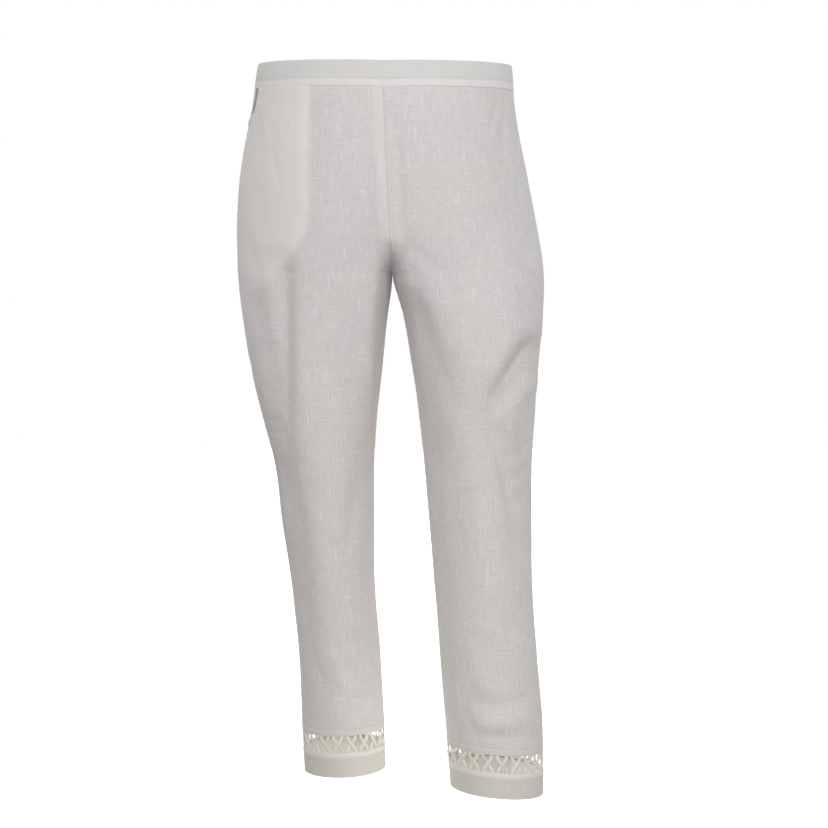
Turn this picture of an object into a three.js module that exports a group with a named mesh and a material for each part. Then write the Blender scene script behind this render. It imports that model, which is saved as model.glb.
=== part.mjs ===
// Cropped straight-leg trousers in slub linen, hollow and filled out as when worn.
// Millimetres, +Z up, the front faces -Y, and the wearer's right leg is at -X.
// The origin is the middle of the waist, halfway up the waistband.
import * as THREE from 'three';

// Cloth
const CLOTH = 1.3;
const SEAM_GAP = 0.3;
const BAND_CLOTH = 2.4;
const BAND_PROUD = 0.5;

// Waistband
const WAISTBAND_HEIGHT = 32;
const WAIST_GATHERS = 28;
const WAIST_GATHER_DEPTH = 2.2;
const WAIST_POINTS_PER_GATHER = 4;
const WAIST_FRONT_STEPS = 32;

// Leg panels
const CROTCH_Z = -240;
const CROTCH_X = 10;
const CROTCH_CURVE_FRONT = 44;
const CROTCH_CURVE_BACK = 92;
const CROTCH_REACH_FRONT = 0.06;
const CROTCH_REACH_BACK = 0.3;
const BLEND_GAIN = 0.54;
const FRONT_STEPS = 16;
const FRONT_STEP_GROWTH = 1.3;
const BACK_STEPS = 18;
const SEAT_ROWS = 5;
const CROTCH_ROWS = 6;
const LEG_ROWS = 20;
const LEG_ROW_GROWTH = 1.3;
const FOLD_END_SHARE = 0.3;
const SEAT_GATHERS = 6;
const SEAT_GATHER_DEPTH = 3;
const SEAT_GATHER_LENGTH = 115;

// Openwork hem, from the leg panel down: binding, crossed strips, lower binding, hem band
const BINDING_HEIGHT = 8;
const BINDING_CLOTH = 1.9;
const LATTICE_HEIGHT = 22;
const LATTICE_PITCH = 18.5;
const LATTICE_RAIL = 1.5;
const LATTICE_SCALLOP = 0.15;
const LATTICE_NOTCH_DROP = 0.4;
const LATTICE_ARM = 5;
const LATTICE_CROSSING = 6;
const LATTICE_BOW = 0.45;
const LATTICE_CLOTH = 1.6;
const LOW_BINDING_HEIGHT = 7;
const HEM_HEIGHT = 25;
const HEM_STEPS = 40;

// Side-seam pocket on the wearer's right
const POCKET_DEPTH = 258;
const POCKET_REACH = 92;
const POCKET_CORNER = 110;
const POCKET_CLOTH = 1.8;
const POCKET_CLEARANCE = 1.9;
const POCKET_UNDER_BAND = 8;

const WAISTBAND_LOW = -WAISTBAND_HEIGHT / 2;

// Sections of one half, from the waistband down to the hem, at the height z of the section's middle.
// inner and outer are x; front and back are y; frontLeg and backLeg go from 0, half a hip, to 1,
// a closed leg;
// seam is where the side seam lies, as a share of the way round to the side; tilt is rise over run.
const SECTIONS = {
  right: [
    { z: 16, inner: 0, outer: -158, front: -108, back: 112, frontLeg: 0, backLeg: 0, seam: 0.9, tilt: -0.026 },
    { z: -16, inner: 0, outer: -163, front: -111, back: 117, frontLeg: 0, backLeg: 0, seam: 0.9, tilt: -0.026 },
    { z: -68, inner: 2, outer: -172, front: -117, back: 129, frontLeg: 0.02, backLeg: 0.04, seam: 0.92, tilt: -0.02 },
    { z: -129, inner: 5, outer: -181.5, front: -120, back: 139, frontLeg: 0.05, backLeg: 0.14, seam: 0.94, tilt: -0.01 },
    { z: -190, inner: 8, outer: -185, front: -118, back: 140, frontLeg: 0.1, backLeg: 0.38, seam: 0.95, tilt: 0 },
    { z: -240, inner: 10, outer: -184, front: -112, back: 128, frontLeg: 0.18, backLeg: 0.72, seam: 0.95, tilt: 0 },
    { z: -300, inner: 2, outer: -178, front: -104, back: 115, frontLeg: 0.28, backLeg: 0.93, seam: 0.96, tilt: 0 },
    { z: -360, inner: -3, outer: -169.5, front: -96, back: 105, frontLeg: 0.42, backLeg: 1, seam: 0.96, tilt: 0 },
    { z: -420, inner: -9, outer: -155.5, front: -90, back: 99, frontLeg: 0.66, backLeg: 1, seam: 0.97, tilt: 0 },
    { z: -480, inner: -12, outer: -140, front: -85, back: 95, frontLeg: 0.88, backLeg: 1, seam: 0.97, tilt: 0 },
    { z: -560, inner: -13, outer: -130, front: -78, back: 91, frontLeg: 1, backLeg: 1, seam: 0.97, tilt: 0.01 },
    { z: -640, inner: -12.5, outer: -119.5, front: -66, back: 90, frontLeg: 1, backLeg: 1, seam: 0.97, tilt: 0.02 },
    { z: -720, inner: -6.5, outer: -111, front: -53, back: 91, frontLeg: 1, backLeg: 1, seam: 0.97, tilt: 0.03 },
    { z: -800, inner: -2, outer: -107, front: -42, back: 92, frontLeg: 1, backLeg: 1, seam: 0.97, tilt: 0.036 },
    { z: -878.5, inner: 0.5, outer: -103.5, front: -34, back: 94, frontLeg: 1, backLeg: 1, seam: 0.97, tilt: 0.037 },
  ],
  left: [
    { z: 16, inner: 0, outer: 160, front: -108, back: 112, frontLeg: 0, backLeg: 0, seam: 0.88, tilt: 0.014 },
    { z: -16, inner: 0, outer: 163, front: -111, back: 117, frontLeg: 0, backLeg: 0, seam: 0.88, tilt: 0.014 },
    { z: -68, inner: 2, outer: 169, front: -117, back: 129, frontLeg: 0.02, backLeg: 0.04, seam: 0.9, tilt: 0.008 },
    { z: -129, inner: 5, outer: 181.5, front: -120, back: 139, frontLeg: 0.05, backLeg: 0.14, seam: 0.93, tilt: 0.002 },
    { z: -190, inner: 8, outer: 193, front: -118, back: 140, frontLeg: 0.1, backLeg: 0.38, seam: 0.95, tilt: 0 },
    { z: -240, inner: 10, outer: 200.5, front: -112, back: 127, frontLeg: 0.25, backLeg: 0.72, seam: 0.95, tilt: 0 },
    { z: -300, inner: 27, outer: 199.5, front: -108, back: 109, frontLeg: 0.5, backLeg: 0.93, seam: 0.96, tilt: -0.005 },
    { z: -360, inner: 37, outer: 194, front: -105, back: 93, frontLeg: 0.76, backLeg: 1, seam: 0.96, tilt: -0.01 },
    { z: -420, inner: 44.5, outer: 189, front: -104, back: 82, frontLeg: 0.95, backLeg: 1, seam: 0.97, tilt: -0.02 },
    { z: -480, inner: 50.5, outer: 185.5, front: -104, back: 72, frontLeg: 1, backLeg: 1, seam: 0.97, tilt: -0.03 },
    { z: -560, inner: 57.5, outer: 184.5, front: -106, back: 58, frontLeg: 1, backLeg: 1, seam: 0.97, tilt: -0.045 },
    { z: -640, inner: 64, outer: 185.5, front: -107, back: 42, frontLeg: 1, backLeg: 1, seam: 0.97, tilt: -0.06 },
    { z: -720, inner: 69.5, outer: 192, front: -108, back: 29, frontLeg: 1, backLeg: 1, seam: 0.97, tilt: -0.075 },
    { z: -800, inner: 76.5, outer: 198.5, front: -110, back: 17, frontLeg: 1, backLeg: 1, seam: 0.97, tilt: -0.085 },
    { z: -888, inner: 83.5, outer: 200, front: -111, back: 8, frontLeg: 1, backLeg: 1, seam: 0.97, tilt: -0.09 },
  ],
};

// The largest folds, each a soft trough or ridge from one point to another of the front or back view.
// width is from the middle to where it is a third as deep; a negative depth is a trough.
const FOLDS = [
  { face: 'front', from: { x: -119, z: -228 }, to: { x: -125, z: -430 }, width: 14, depth: -4.5 },
  { face: 'front', from: { x: -125, z: -430 }, to: { x: -93, z: -700 }, width: 15, depth: -2.5 },
  { face: 'front', from: { x: -148, z: -235 }, to: { x: -152, z: -330 }, width: 12, depth: 3 },
  { face: 'front', from: { x: -162, z: -262 }, to: { x: -141, z: -400 }, width: 11, depth: -3.5 },
  { face: 'front', from: { x: 15, z: -45 }, to: { x: 20, z: -205 }, width: 13, depth: -2.5 },
  { face: 'front', from: { x: 50, z: -238 }, to: { x: 92, z: -450 }, width: 21, depth: 3.5 },
  { face: 'front', from: { x: 187, z: -328 }, to: { x: 132, z: -409 }, width: 14, depth: -5.5 },
  { face: 'front', from: { x: 176, z: -300 }, to: { x: 122, z: -378 }, width: 14, depth: 2.5 },
  { face: 'front', from: { x: 128, z: -425 }, to: { x: 170, z: -598 }, width: 15, depth: -3 },
  { face: 'front', from: { x: 115, z: -793 }, to: { x: 180, z: -788 }, width: 13, depth: 2 },
  { face: 'back', from: { x: -40, z: -262 }, to: { x: -92, z: -350 }, width: 17, depth: -5 },
  { face: 'back', from: { x: 62, z: -262 }, to: { x: 116, z: -352 }, width: 18, depth: -5 },
  { face: 'back', from: { x: -30, z: -455 }, to: { x: -98, z: -500 }, width: 15, depth: -4 },
  { face: 'back', from: { x: 84, z: -462 }, to: { x: 160, z: -512 }, width: 15, depth: -4 },
  { face: 'back', from: { x: -34, z: -560 }, to: { x: -84, z: -538 }, width: 13, depth: -3 },
];

const HEM_HEIGHTS = BINDING_HEIGHT + LATTICE_HEIGHT + LOW_BINDING_HEIGHT + HEM_HEIGHT;

function smoothStep(t) {
  const held = Math.min(1, Math.max(0, t));
  return held * held * (3 - 2 * held);
}

// A smooth curve through the section rows, one column at a time
function sectionAt(side, z) {
  const rows = SECTIONS[side];
  let k = 0;
  while (k < rows.length - 2 && z < rows[k + 1].z) {
    k += 1;
  }
  const [a, b] = [rows[k], rows[k + 1]];
  const [before, after] = [rows[Math.max(k - 1, 0)], rows[Math.min(k + 2, rows.length - 1)]];
  const t = (z - a.z) / (b.z - a.z);
  const section = {};
  for (const column of ['inner', 'outer', 'front', 'back', 'frontLeg', 'backLeg', 'seam', 'tilt']) {
    const slopeA = ((b[column] - before[column]) / (b.z - before.z)) * (b.z - a.z);
    const slopeB = ((after[column] - a[column]) / (after.z - a.z)) * (b.z - a.z);
    section[column] =
      a[column] * (2 * t ** 3 - 3 * t ** 2 + 1) + slopeA * (t ** 3 - 2 * t ** 2 + t) +
      b[column] * (3 * t ** 2 - 2 * t ** 3) + slopeB * (t ** 3 - t ** 2);
  }
  return section;
}

// The centre seams lean a little, because the weight is on the wearer's right leg
function centreX(z) {
  return CROTCH_X * Math.max(0, (WAISTBAND_LOW - z) / (WAISTBAND_LOW - CROTCH_Z));
}

// How far the crotch seam has curved under: 0 above the curve, 1 at the crotch and below it
function crotchShare(z, isFront) {
  const height = isFront ? CROTCH_CURVE_FRONT : CROTCH_CURVE_BACK;
  const q = (CROTCH_Z + height - z) / height;
  if (q <= 0) {
    return 0;
  }
  return q >= 1 ? 1 : 1 - Math.sqrt(1 - q * q);
}

// A point of the smooth skin. turn is 0 at the centre front or inseam, PI at the side,
// and 2 PI at the centre back or inseam.
function skin(side, turn, z) {
  const row = sectionAt(side, z);
  const s = Math.sin(turn / 2);
  const c = Math.cos(turn / 2);
  const isFront = turn < Math.PI;
  const near = Math.exp(-((s / (isFront ? CROTCH_REACH_FRONT : CROTCH_REACH_BACK)) ** 2));
  const leg = Math.max(0, isFront ? row.frontLeg : row.backLeg);
  const closed = leg + (crotchShare(z, isFront) - leg) * near;
  const middle = (row.front + row.back) / 2;
  const halfDepth = (row.back - row.front) / 2;
  const gain = 1 + BLEND_GAIN * leg * (1 - leg) * (1 - near);
  const inner = z > CROTCH_Z ? centreX(z) : row.inner;
  const x = inner + (row.outer - inner) * s * (1 - closed + closed * s);
  const y = middle - halfDepth * c * (1 - closed + 2 * closed * s) * gain;
  const pivot = z > CROTCH_Z ? inner : (inner + row.outer) / 2;
  return new THREE.Vector3(x, y, z + row.tilt * (x - pivot));
}

function foldDepth(point, isFront) {
  let depth = 0;
  for (const fold of FOLDS) {
    if ((fold.face === 'front') !== isFront) {
      continue;
    }
    const run = { x: fold.to.x - fold.from.x, z: fold.to.z - fold.from.z };
    const length = Math.hypot(run.x, run.z);
    const along = ((point.x - fold.from.x) * run.x + (point.z - fold.from.z) * run.z) / length;
    const across = ((point.x - fold.from.x) * run.z - (point.z - fold.from.z) * run.x) / length;
    const share = along / length;
    const ends = smoothStep(share / FOLD_END_SHARE + 0.5) * smoothStep((1 - share) / FOLD_END_SHARE + 0.5);
    depth += fold.depth * ends * Math.exp(-((across / fold.width) ** 2));
  }
  return depth;
}

// Soft vertical folds that the elastic back waist sends down the seat
function seatGather(side, turn, z) {
  const seamTurn = Math.PI * sectionAt(side, z).seam;
  const share = (turn - seamTurn) / (2 * Math.PI - seamTurn);
  if (share <= 0) {
    return 0;
  }
  const fade = 1 - smoothStep((WAISTBAND_LOW - z) / SEAT_GATHER_LENGTH);
  return -SEAT_GATHER_DEPTH * fade * Math.sin(Math.PI * SEAT_GATHERS * share) ** 2;
}

// The outward normal, from two short steps over the skin
function skinNormal(side, turn, z) {
  const step = 0.004;
  const dz = 0.6;
  const zHigh = z > CROTCH_Z - dz && z < CROTCH_Z + dz ? z : z + dz;
  const along = skin(side, Math.min(turn + step, 2 * Math.PI), z)
    .sub(skin(side, Math.max(turn - step, 0), z));
  const down = skin(side, turn, z - dz).sub(skin(side, turn, zHigh));
  const normal = along.cross(down).normalize();
  return side === 'right' ? normal : normal.negate();
}

// A point of the worn cloth, lift millimetres outside its outer face
function clothPoint(side, turn, z, lift = 0) {
  const point = skin(side, turn, z);
  const raised = lift + foldDepth(point, turn < Math.PI) + seatGather(side, turn, z);
  return point.addScaledVector(skinNormal(side, turn, z), raised);
}

// Closes a wall between an outer and an inner grid of points. wraps joins the last column to the first.
function wallGeometry(outer, inner, wraps = false) {
  const rows = outer.length;
  const columns = outer[0].length;
  const points = [...outer.flat(), ...inner.flat()];
  const out = (i, j) => i * columns + (j % columns);
  const inn = (i, j) => rows * columns + out(i, j);
  const faces = [];
  const quad = (a, b, c, d) => faces.push([a, b, c], [a, c, d]);
  const lastColumn = wraps ? columns : columns - 1;
  for (let i = 0; i < rows - 1; i += 1) {
    for (let j = 0; j < lastColumn; j += 1) {
      quad(out(i, j), out(i + 1, j), out(i + 1, j + 1), out(i, j + 1));
      faces.push([inn(i, j), inn(i + 1, j + 1), inn(i + 1, j)]);
      faces.push([inn(i, j), inn(i, j + 1), inn(i + 1, j + 1)]);
    }
  }
  for (let j = 0; j < lastColumn; j += 1) {
    quad(out(0, j), out(0, j + 1), inn(0, j + 1), inn(0, j));
    quad(out(rows - 1, j + 1), out(rows - 1, j), inn(rows - 1, j), inn(rows - 1, j + 1));
  }
  for (let i = 0; i < rows - 1 && !wraps; i += 1) {
    quad(out(i + 1, 0), out(i, 0), inn(i, 0), inn(i + 1, 0));
    quad(out(i, columns - 1), out(i + 1, columns - 1), inn(i + 1, columns - 1), inn(i, columns - 1));
  }
  return outwardGeometry(points, faces);
}

// Builds the geometry, turning every face over if the volume comes out negative
function outwardGeometry(points, faces) {
  let volume = 0;
  for (const [a, b, c] of faces) {
    volume += points[a].dot(new THREE.Vector3().crossVectors(points[b], points[c]));
  }
  const index = faces.flatMap(([a, b, c]) => (volume < 0 ? [a, c, b] : [a, b, c]));
  const geometry = new THREE.BufferGeometry().setFromPoints(points);
  geometry.setIndex(index);
  geometry.computeVertexNormals();
  return geometry;
}

// A flat cut-out made of cells that share edges, laid over a curved wall by place(u, v, depth)
function cutWallGeometry(cells, place) {
  const idOfKey = new Map();
  const flat = [];
  const idOf = (p) => {
    const key = `${p.x.toFixed(4)} ${p.y.toFixed(4)}`;
    if (!idOfKey.has(key)) {
      idOfKey.set(key, flat.length);
      flat.push(p);
    }
    return idOfKey.get(key);
  };
  const lid = [];
  for (const { outline, holes } of cells) {
    const ids = [outline, ...holes].flat().map(idOf);
    for (const corners of THREE.ShapeUtils.triangulateShape(outline, holes)) {
      lid.push(corners.map((corner) => ids[corner]));
    }
  }
  const count = flat.length;
  const edges = lid.flatMap(([a, b, c]) => [[a, b], [b, c], [c, a]]);
  const known = new Set(edges.map(([a, b]) => `${a} ${b}`));
  const faces = lid.flatMap(([a, b, c]) => [[a, b, c], [a + count, c + count, b + count]]);
  for (const [a, b] of edges) {
    if (!known.has(`${b} ${a}`)) {
      faces.push([b, a, a + count], [b, a + count, b + count]);
    }
  }
  const layer = (depth) => flat.map((p) => place(p.x, p.y, depth));
  return outwardGeometry([...layer(0), ...layer(-LATTICE_CLOTH)], faces);
}

const hemLow = (side) => SECTIONS[side].at(-1).z;
const panelLow = (side) => hemLow(side) + HEM_HEIGHTS;

// Heights of a panel's rows: closer together as the crotch seam curves under
function panelRows(side) {
  const high = WAISTBAND_LOW - SEAM_GAP;
  const curveHigh = CROTCH_Z + CROTCH_CURVE_BACK;
  const rows = [];
  for (let k = 0; k < SEAT_ROWS; k += 1) {
    rows.push(high + ((curveHigh - high) * k) / SEAT_ROWS);
  }
  for (let k = 0; k < CROTCH_ROWS; k += 1) {
    rows.push(curveHigh - CROTCH_CURVE_BACK * Math.sin((Math.PI / 2) * (k / CROTCH_ROWS)));
  }
  for (let k = 0; k <= LEG_ROWS; k += 1) {
    const share = (k / LEG_ROWS) ** LEG_ROW_GROWTH;
    rows.push(CROTCH_Z + (panelLow(side) - CROTCH_Z) * share);
  }
  return rows;
}

// Moves an edge point half the seam gap into its own panel
function heldFromSeam(side, turn, z, lift, inward) {
  const step = 0.002;
  const here = clothPoint(side, turn, z, lift);
  const next = clothPoint(side, turn + inward * step, z, lift);
  const run = next.sub(here).normalize();
  const atCentre = turn === 0 || turn === 2 * Math.PI;
  if (atCentre && z > CROTCH_Z) {
    return here;
  }
  return here.addScaledVector(run, SEAM_GAP / 2);
}

// Keeps a point half a seam gap from the centre seams, down to where the legs have parted
function keptOffCentre(side, point, z) {
  const legsParted = CROTCH_Z - 12;
  if (z < legsParted) {
    return point;
  }
  const centre = centreX(Math.max(z, CROTCH_Z));
  const sign = side === 'right' ? -1 : 1;
  const off = (point.x - centre) * sign;
  if (off < SEAM_GAP / 2) {
    point.x = centre + (sign * SEAM_GAP) / 2;
  }
  return point;
}

function panelPoint(side, turn, z, lift, edge) {
  const point = edge === 0 ? clothPoint(side, turn, z, lift) : heldFromSeam(side, turn, z, lift, edge);
  return keptOffCentre(side, point, z);
}

// One front or back leg piece, waist to openwork
function panel(side, face) {
  const steps = face === 'front' ? FRONT_STEPS : BACK_STEPS;
  const growth = face === 'front' ? FRONT_STEP_GROWTH : 1;
  const grid = (lift) => panelRows(side).map((z) => {
    const seam = Math.PI * sectionAt(side, z).seam;
    const [from, to] = face === 'front' ? [0, seam] : [seam, 2 * Math.PI];
    return Array.from({ length: steps + 1 }, (_, j) => {
      const edge = j === 0 ? 1 : j === steps ? -1 : 0;
      return panelPoint(side, from + (to - from) * (j / steps) ** growth, z, lift, edge);
    });
  });
  return wallGeometry(grid(0), grid(-CLOTH));
}

// The waistband point at a share of the way round, from one side seam through the centre to the other
function waistbandPoint(face, share, z, lift) {
  const side = share < 0.5 ? 'right' : 'left';
  const seam = Math.PI * sectionAt(side, z).seam;
  const reach = Math.abs(2 * share - 1);
  const turn = face === 'front' ? seam * reach : 2 * Math.PI - (2 * Math.PI - seam) * reach;
  const pucker = face === 'back' ? Math.sin(Math.PI * WAIST_GATHERS * share) ** 2 : 0;
  const point = skin(side, turn, z);
  return point.addScaledVector(skinNormal(side, turn, z), lift - WAIST_GATHER_DEPTH * pucker);
}

function waistband(face) {
  const steps = face === 'front' ? WAIST_FRONT_STEPS : WAIST_GATHERS * WAIST_POINTS_PER_GATHER;
  const heights = [WAISTBAND_HEIGHT / 2, 0, WAISTBAND_LOW];
  const grid = (lift) => heights.map((z) => Array.from({ length: steps + 1 }, (_, j) => {
    const point = waistbandPoint(face, j / steps, z, lift);
    if (j > 0 && j < steps) {
      return point;
    }
    const next = waistbandPoint(face, j === 0 ? 0.002 : 0.998, z, lift);
    return point.addScaledVector(next.sub(point).normalize(), SEAM_GAP / 2);
  }));
  return wallGeometry(grid(BAND_PROUD), grid(BAND_PROUD - BAND_CLOTH));
}

// A plain band right round one leg between two heights
function legBand(side, high, low, proud, cloth) {
  const heights = [high, (high + low) / 2, low];
  const grid = (lift) => heights.map((z) => Array.from({ length: HEM_STEPS }, (_, j) => (
    clothPoint(side, (2 * Math.PI * j) / HEM_STEPS, z, lift)
  )));
  return wallGeometry(grid(proud), grid(proud - cloth), true);
}

// Lengths along one leg's section between two turns, for spacing the openwork evenly
function turnFinder(side, z, from, to) {
  const steps = 180;
  const turns = Array.from({ length: steps + 1 }, (_, k) => from + ((to - from) * k) / steps);
  const lengths = [0];
  for (let k = 1; k <= steps; k += 1) {
    lengths.push(lengths[k - 1] + skin(side, turns[k], z).distanceTo(skin(side, turns[k - 1], z)));
  }
  const total = lengths[steps];
  const turnAt = (length) => {
    let k = 1;
    while (k < steps && lengths[k] < length) {
      k += 1;
    }
    const share = (length - lengths[k - 1]) / (lengths[k] - lengths[k - 1]);
    return turns[k - 1] + (turns[k] - turns[k - 1]) * share;
  };
  return { total, turnAt };
}

// Half of one leg's openwork: crossed strips between two rails, cut right through
function latticeHalf(side, face) {
  const low = hemLow(side) + HEM_HEIGHT + LOW_BINDING_HEIGHT;
  const high = low + LATTICE_HEIGHT - SEAM_GAP;
  const middleZ = (high + low) / 2;
  const seam = Math.PI * sectionAt(side, middleZ).seam;
  const [from, to] = face === 'front' ? [0, seam] : [seam, 2 * Math.PI];
  const { total, turnAt } = turnFinder(side, middleZ, from, to);
  const repeats = Math.round(total / LATTICE_PITCH);
  const pitch = total / repeats;
  const railZ = (high - low) / 2;
  const halfOpen = railZ - LATTICE_RAIL;
  const halfWide = (pitch - LATTICE_CROSSING) / 2;
  const armAcross = LATTICE_ARM * (Math.hypot(halfWide, halfOpen) / halfOpen);
  const notchZ = halfOpen - LATTICE_NOTCH_DROP;
  const notch = pitch / 2 - armAcross;
  const notchDepth = (notch * halfOpen) / halfWide;
  const bow = { x: halfWide / 2 + LATTICE_BOW, z: halfOpen / 2 + LATTICE_BOW };
  const cells = [];
  for (let k = 0; k < repeats; k += 1) {
    const left = k === 0 ? SEAM_GAP / 2 : k * pitch;
    const right = k === repeats - 1 ? total - SEAM_GAP / 2 : (k + 1) * pitch;
    const crossing = (k + 0.5) * pitch;
    const at = (u, v) => new THREE.Vector2(u, v);
    const rightEdge = [at(right, -railZ), at(right, -halfOpen), at(right - bow.x, -bow.z),
      at(right - halfWide, 0), at(right - bow.x, bow.z), at(right, halfOpen), at(right, railZ)];
    const leftEdge = [at(left, railZ), at(left, halfOpen), at(left + bow.x, bow.z),
      at(left + halfWide, 0), at(left + bow.x, -bow.z), at(left, -halfOpen), at(left, -railZ)];
    const dip = railZ - LATTICE_SCALLOP;
    const outline = [...rightEdge, at(crossing, dip), ...leftEdge, at(crossing, -dip)];
    const holes = [1, -1].map((way) => [at(crossing - notch, way * notchZ),
      at(crossing, way * (notchZ - notchDepth)), at(crossing + notch, way * notchZ)]);
    cells.push({ outline, holes });
  }
  return cutWallGeometry(cells, (u, v, depth) => clothPoint(side, turnAt(u), middleZ + v, depth));
}

// The pocket bag, its two layers pressed together, behind the front panel from the side seam forwards
function pocketBag() {
  const side = 'right';
  const columns = 9;
  const rows = 14;
  const rowGrowth = 0.8;
  const bottomShare = 0.1;
  const seamTuck = 0.02;
  const high = WAISTBAND_LOW + POCKET_UNDER_BAND;
  const low = WAISTBAND_LOW - POCKET_DEPTH;
  const cornerHigh = low + POCKET_CORNER;
  const grid = (lift) => Array.from({ length: rows + 1 }, (_, i) => {
    const z = high + (low - high) * (i / rows) ** rowGrowth;
    const q = Math.max(0, (cornerHigh - z) / POCKET_CORNER);
    const round = bottomShare + (1 - bottomShare) * Math.sqrt(Math.max(0, 1 - q * q));
    const seamTurn = Math.PI * sectionAt(side, z).seam - seamTuck;
    const reach = (seamTurn - forwardTurn(side, z)) * round;
    return Array.from({ length: columns + 1 }, (__, j) => (
      clothPoint(side, seamTurn - (reach * j) / columns, z, lift)
    ));
  });
  const outside = -(CLOTH + POCKET_CLEARANCE);
  return wallGeometry(grid(outside), grid(outside - POCKET_CLOTH));
}

// Where the front panel is at the pocket bag's forward edge
function forwardTurn(side, z) {
  let [low, high] = [0, Math.PI];
  for (let k = 0; k < 20; k += 1) {
    const middle = (low + high) / 2;
    if (Math.abs(skin(side, middle, z).x) > POCKET_REACH) {
      high = middle;
    } else {
      low = middle;
    }
  }
  return high;
}

const linen = new THREE.MeshStandardMaterial({ color: 0xd3cfcc, roughness: 0.92, metalness: 0 });
const bandLinen = new THREE.MeshStandardMaterial({ color: 0xd8d7d3, roughness: 0.9, metalness: 0 });
const trimLinen = new THREE.MeshStandardMaterial({ color: 0xd4d2c4, roughness: 0.85, metalness: 0 });

const trousers = new THREE.Group();
trousers.name = 'trousers';

function add(name, geometry, material) {
  const mesh = new THREE.Mesh(geometry, material.clone());
  mesh.name = name;
  trousers.add(mesh);
}

add('waistband_front', waistband('front'), bandLinen);
add('waistband_back', waistband('back'), bandLinen);
add('pocket_bag_right', pocketBag(), linen);
for (const side of ['right', 'left']) {
  const hemHigh = hemLow(side) + HEM_HEIGHT;
  const latticeLow = hemHigh + LOW_BINDING_HEIGHT;
  const latticeHigh = latticeLow + LATTICE_HEIGHT;
  for (const face of ['front', 'back']) {
    add(`${face}_${side}`, panel(side, face), linen);
    add(`lattice_${side}_${face}`, latticeHalf(side, face), trimLinen);
  }
  add(`binding_${side}`,
    legBand(side, panelLow(side) - SEAM_GAP, latticeHigh, BAND_PROUD, BINDING_CLOTH), trimLinen);
  add(`low_binding_${side}`,
    legBand(side, latticeLow - SEAM_GAP, hemHigh, BAND_PROUD, BINDING_CLOTH), trimLinen);
  add(`hem_band_${side}`,
    legBand(side, hemHigh - SEAM_GAP, hemLow(side), BAND_PROUD / 2, BAND_CLOTH), bandLinen);
}

export default trousers;
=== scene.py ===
"""Looks for the cropped linen trousers: each cloth piece is a thin shell on its solid's form.

Lengths are in millimetres unless a comment says otherwise. x runs to the wearer's left, y to the
back and z up, from the middle of the waist. A turn is an angle round one leg: 0 at the centre
front, pi at the outer side and 2 pi at the centre back.
"""
import math

import bpy
import numpy as np
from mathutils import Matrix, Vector


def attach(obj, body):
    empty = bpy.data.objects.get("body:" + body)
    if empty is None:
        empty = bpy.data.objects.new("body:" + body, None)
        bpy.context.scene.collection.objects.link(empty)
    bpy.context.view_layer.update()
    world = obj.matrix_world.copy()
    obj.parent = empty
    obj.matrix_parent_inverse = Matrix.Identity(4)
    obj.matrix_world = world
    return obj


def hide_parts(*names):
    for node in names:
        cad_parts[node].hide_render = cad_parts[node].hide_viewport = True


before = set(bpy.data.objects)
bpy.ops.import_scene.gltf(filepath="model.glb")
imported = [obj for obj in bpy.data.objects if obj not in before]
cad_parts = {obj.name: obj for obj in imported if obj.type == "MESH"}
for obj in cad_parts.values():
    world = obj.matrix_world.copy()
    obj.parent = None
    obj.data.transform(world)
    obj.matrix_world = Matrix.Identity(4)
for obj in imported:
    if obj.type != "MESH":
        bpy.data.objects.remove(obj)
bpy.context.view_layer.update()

MM = 0.001

# Cloth and bands
CLOTH = 0.8
POCKET_CLOTH = 1.2
BAND_PROUD = 0.5
BAND_INSIDE = -1.5
BAND_MIDDLE = -0.5
BAND_BULGE = 0.35
TUCK = 3.5
TUCK_DEPTH = 0.55
WAISTBAND_HEIGHT = 32
WAISTBAND_LOW = -WAISTBAND_HEIGHT / 2
WAIST_STITCH_Z = -7
WAIST_EDGE_Z = -15
WAIST_COLUMNS = {"front": 190, "back": 400}
WAIST_LENGTH = {"front": 410, "back": 470}
BAND_END_GAP = 0.0003
# Grooves in a band: height, depth, half width
WAIST_GROOVES = ((WAIST_STITCH_Z, 0.4, 0.9), (WAIST_EDGE_Z, 0.15, 1.2))
WAIST_NOISE = {"front": ((60, 60, 0.35, 41),), "back": ((60, 60, 0.35, 41), (9, 16, 0.22, 42))}
# The stitch line pulls the band into small waves
PINCH_DEPTH = {"front": 0.1, "back": 0.25}
PINCH_PITCH = 6.5
PINCH_REACH = 3

# Crotch: where the legs part, and how far the closing curve reaches
CROTCH_Z = -240
CROTCH_X = 10
CROTCH_CURVE = {"front": 44, "back": 92}
CROTCH_CURVE_ROWS = {"front": 34, "back": 44}
CROTCH_REACH = {"front": 0.06, "back": 0.3}
CROTCH_EASE = 9
BLEND_GAIN = 0.54
CENTRE_GAP = 0.05

# Hem trim, from the leg panel down
BINDING_HEIGHT = 8
LATTICE_HEIGHT = 22
LOW_BINDING_HEIGHT = 7
HEM_HEIGHT = 25
HEM_HEIGHTS = BINDING_HEIGHT + LATTICE_HEIGHT + LOW_BINDING_HEIGHT + HEM_HEIGHT
TAPE_EDGE = 1.3
HEM_STITCH_UP = 2.8
HEM_TUCK_DEPTH = 0.75
# Tape and row of stitches: how far each stands proud of the cloth
TAPE_PROUD = {"upper": 0.5, "lower": 0.55}
STITCH_PROUD = {"hem": 0.1, "tape_low": 0.6, "tape_high": 0.55}
LOOP_COLUMNS = 240
LOOP_SEEDS = {"upper": 71, "lower": 72, "hem": 73}
BAND_UNEVEN = 0.18
TAPE_BULGE = 0.12
# Depth and half width of the groove at a tape's edges and along the hem's stitches
TAPE_GROOVE = (0.12, 0.5)
HEM_GROOVE = (0.35, 0.6)
# Spacing of the points down each kind of band
BAND_STEP = {"waist": 1.6, "tape": 0.7, "hem": 0.9}

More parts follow.
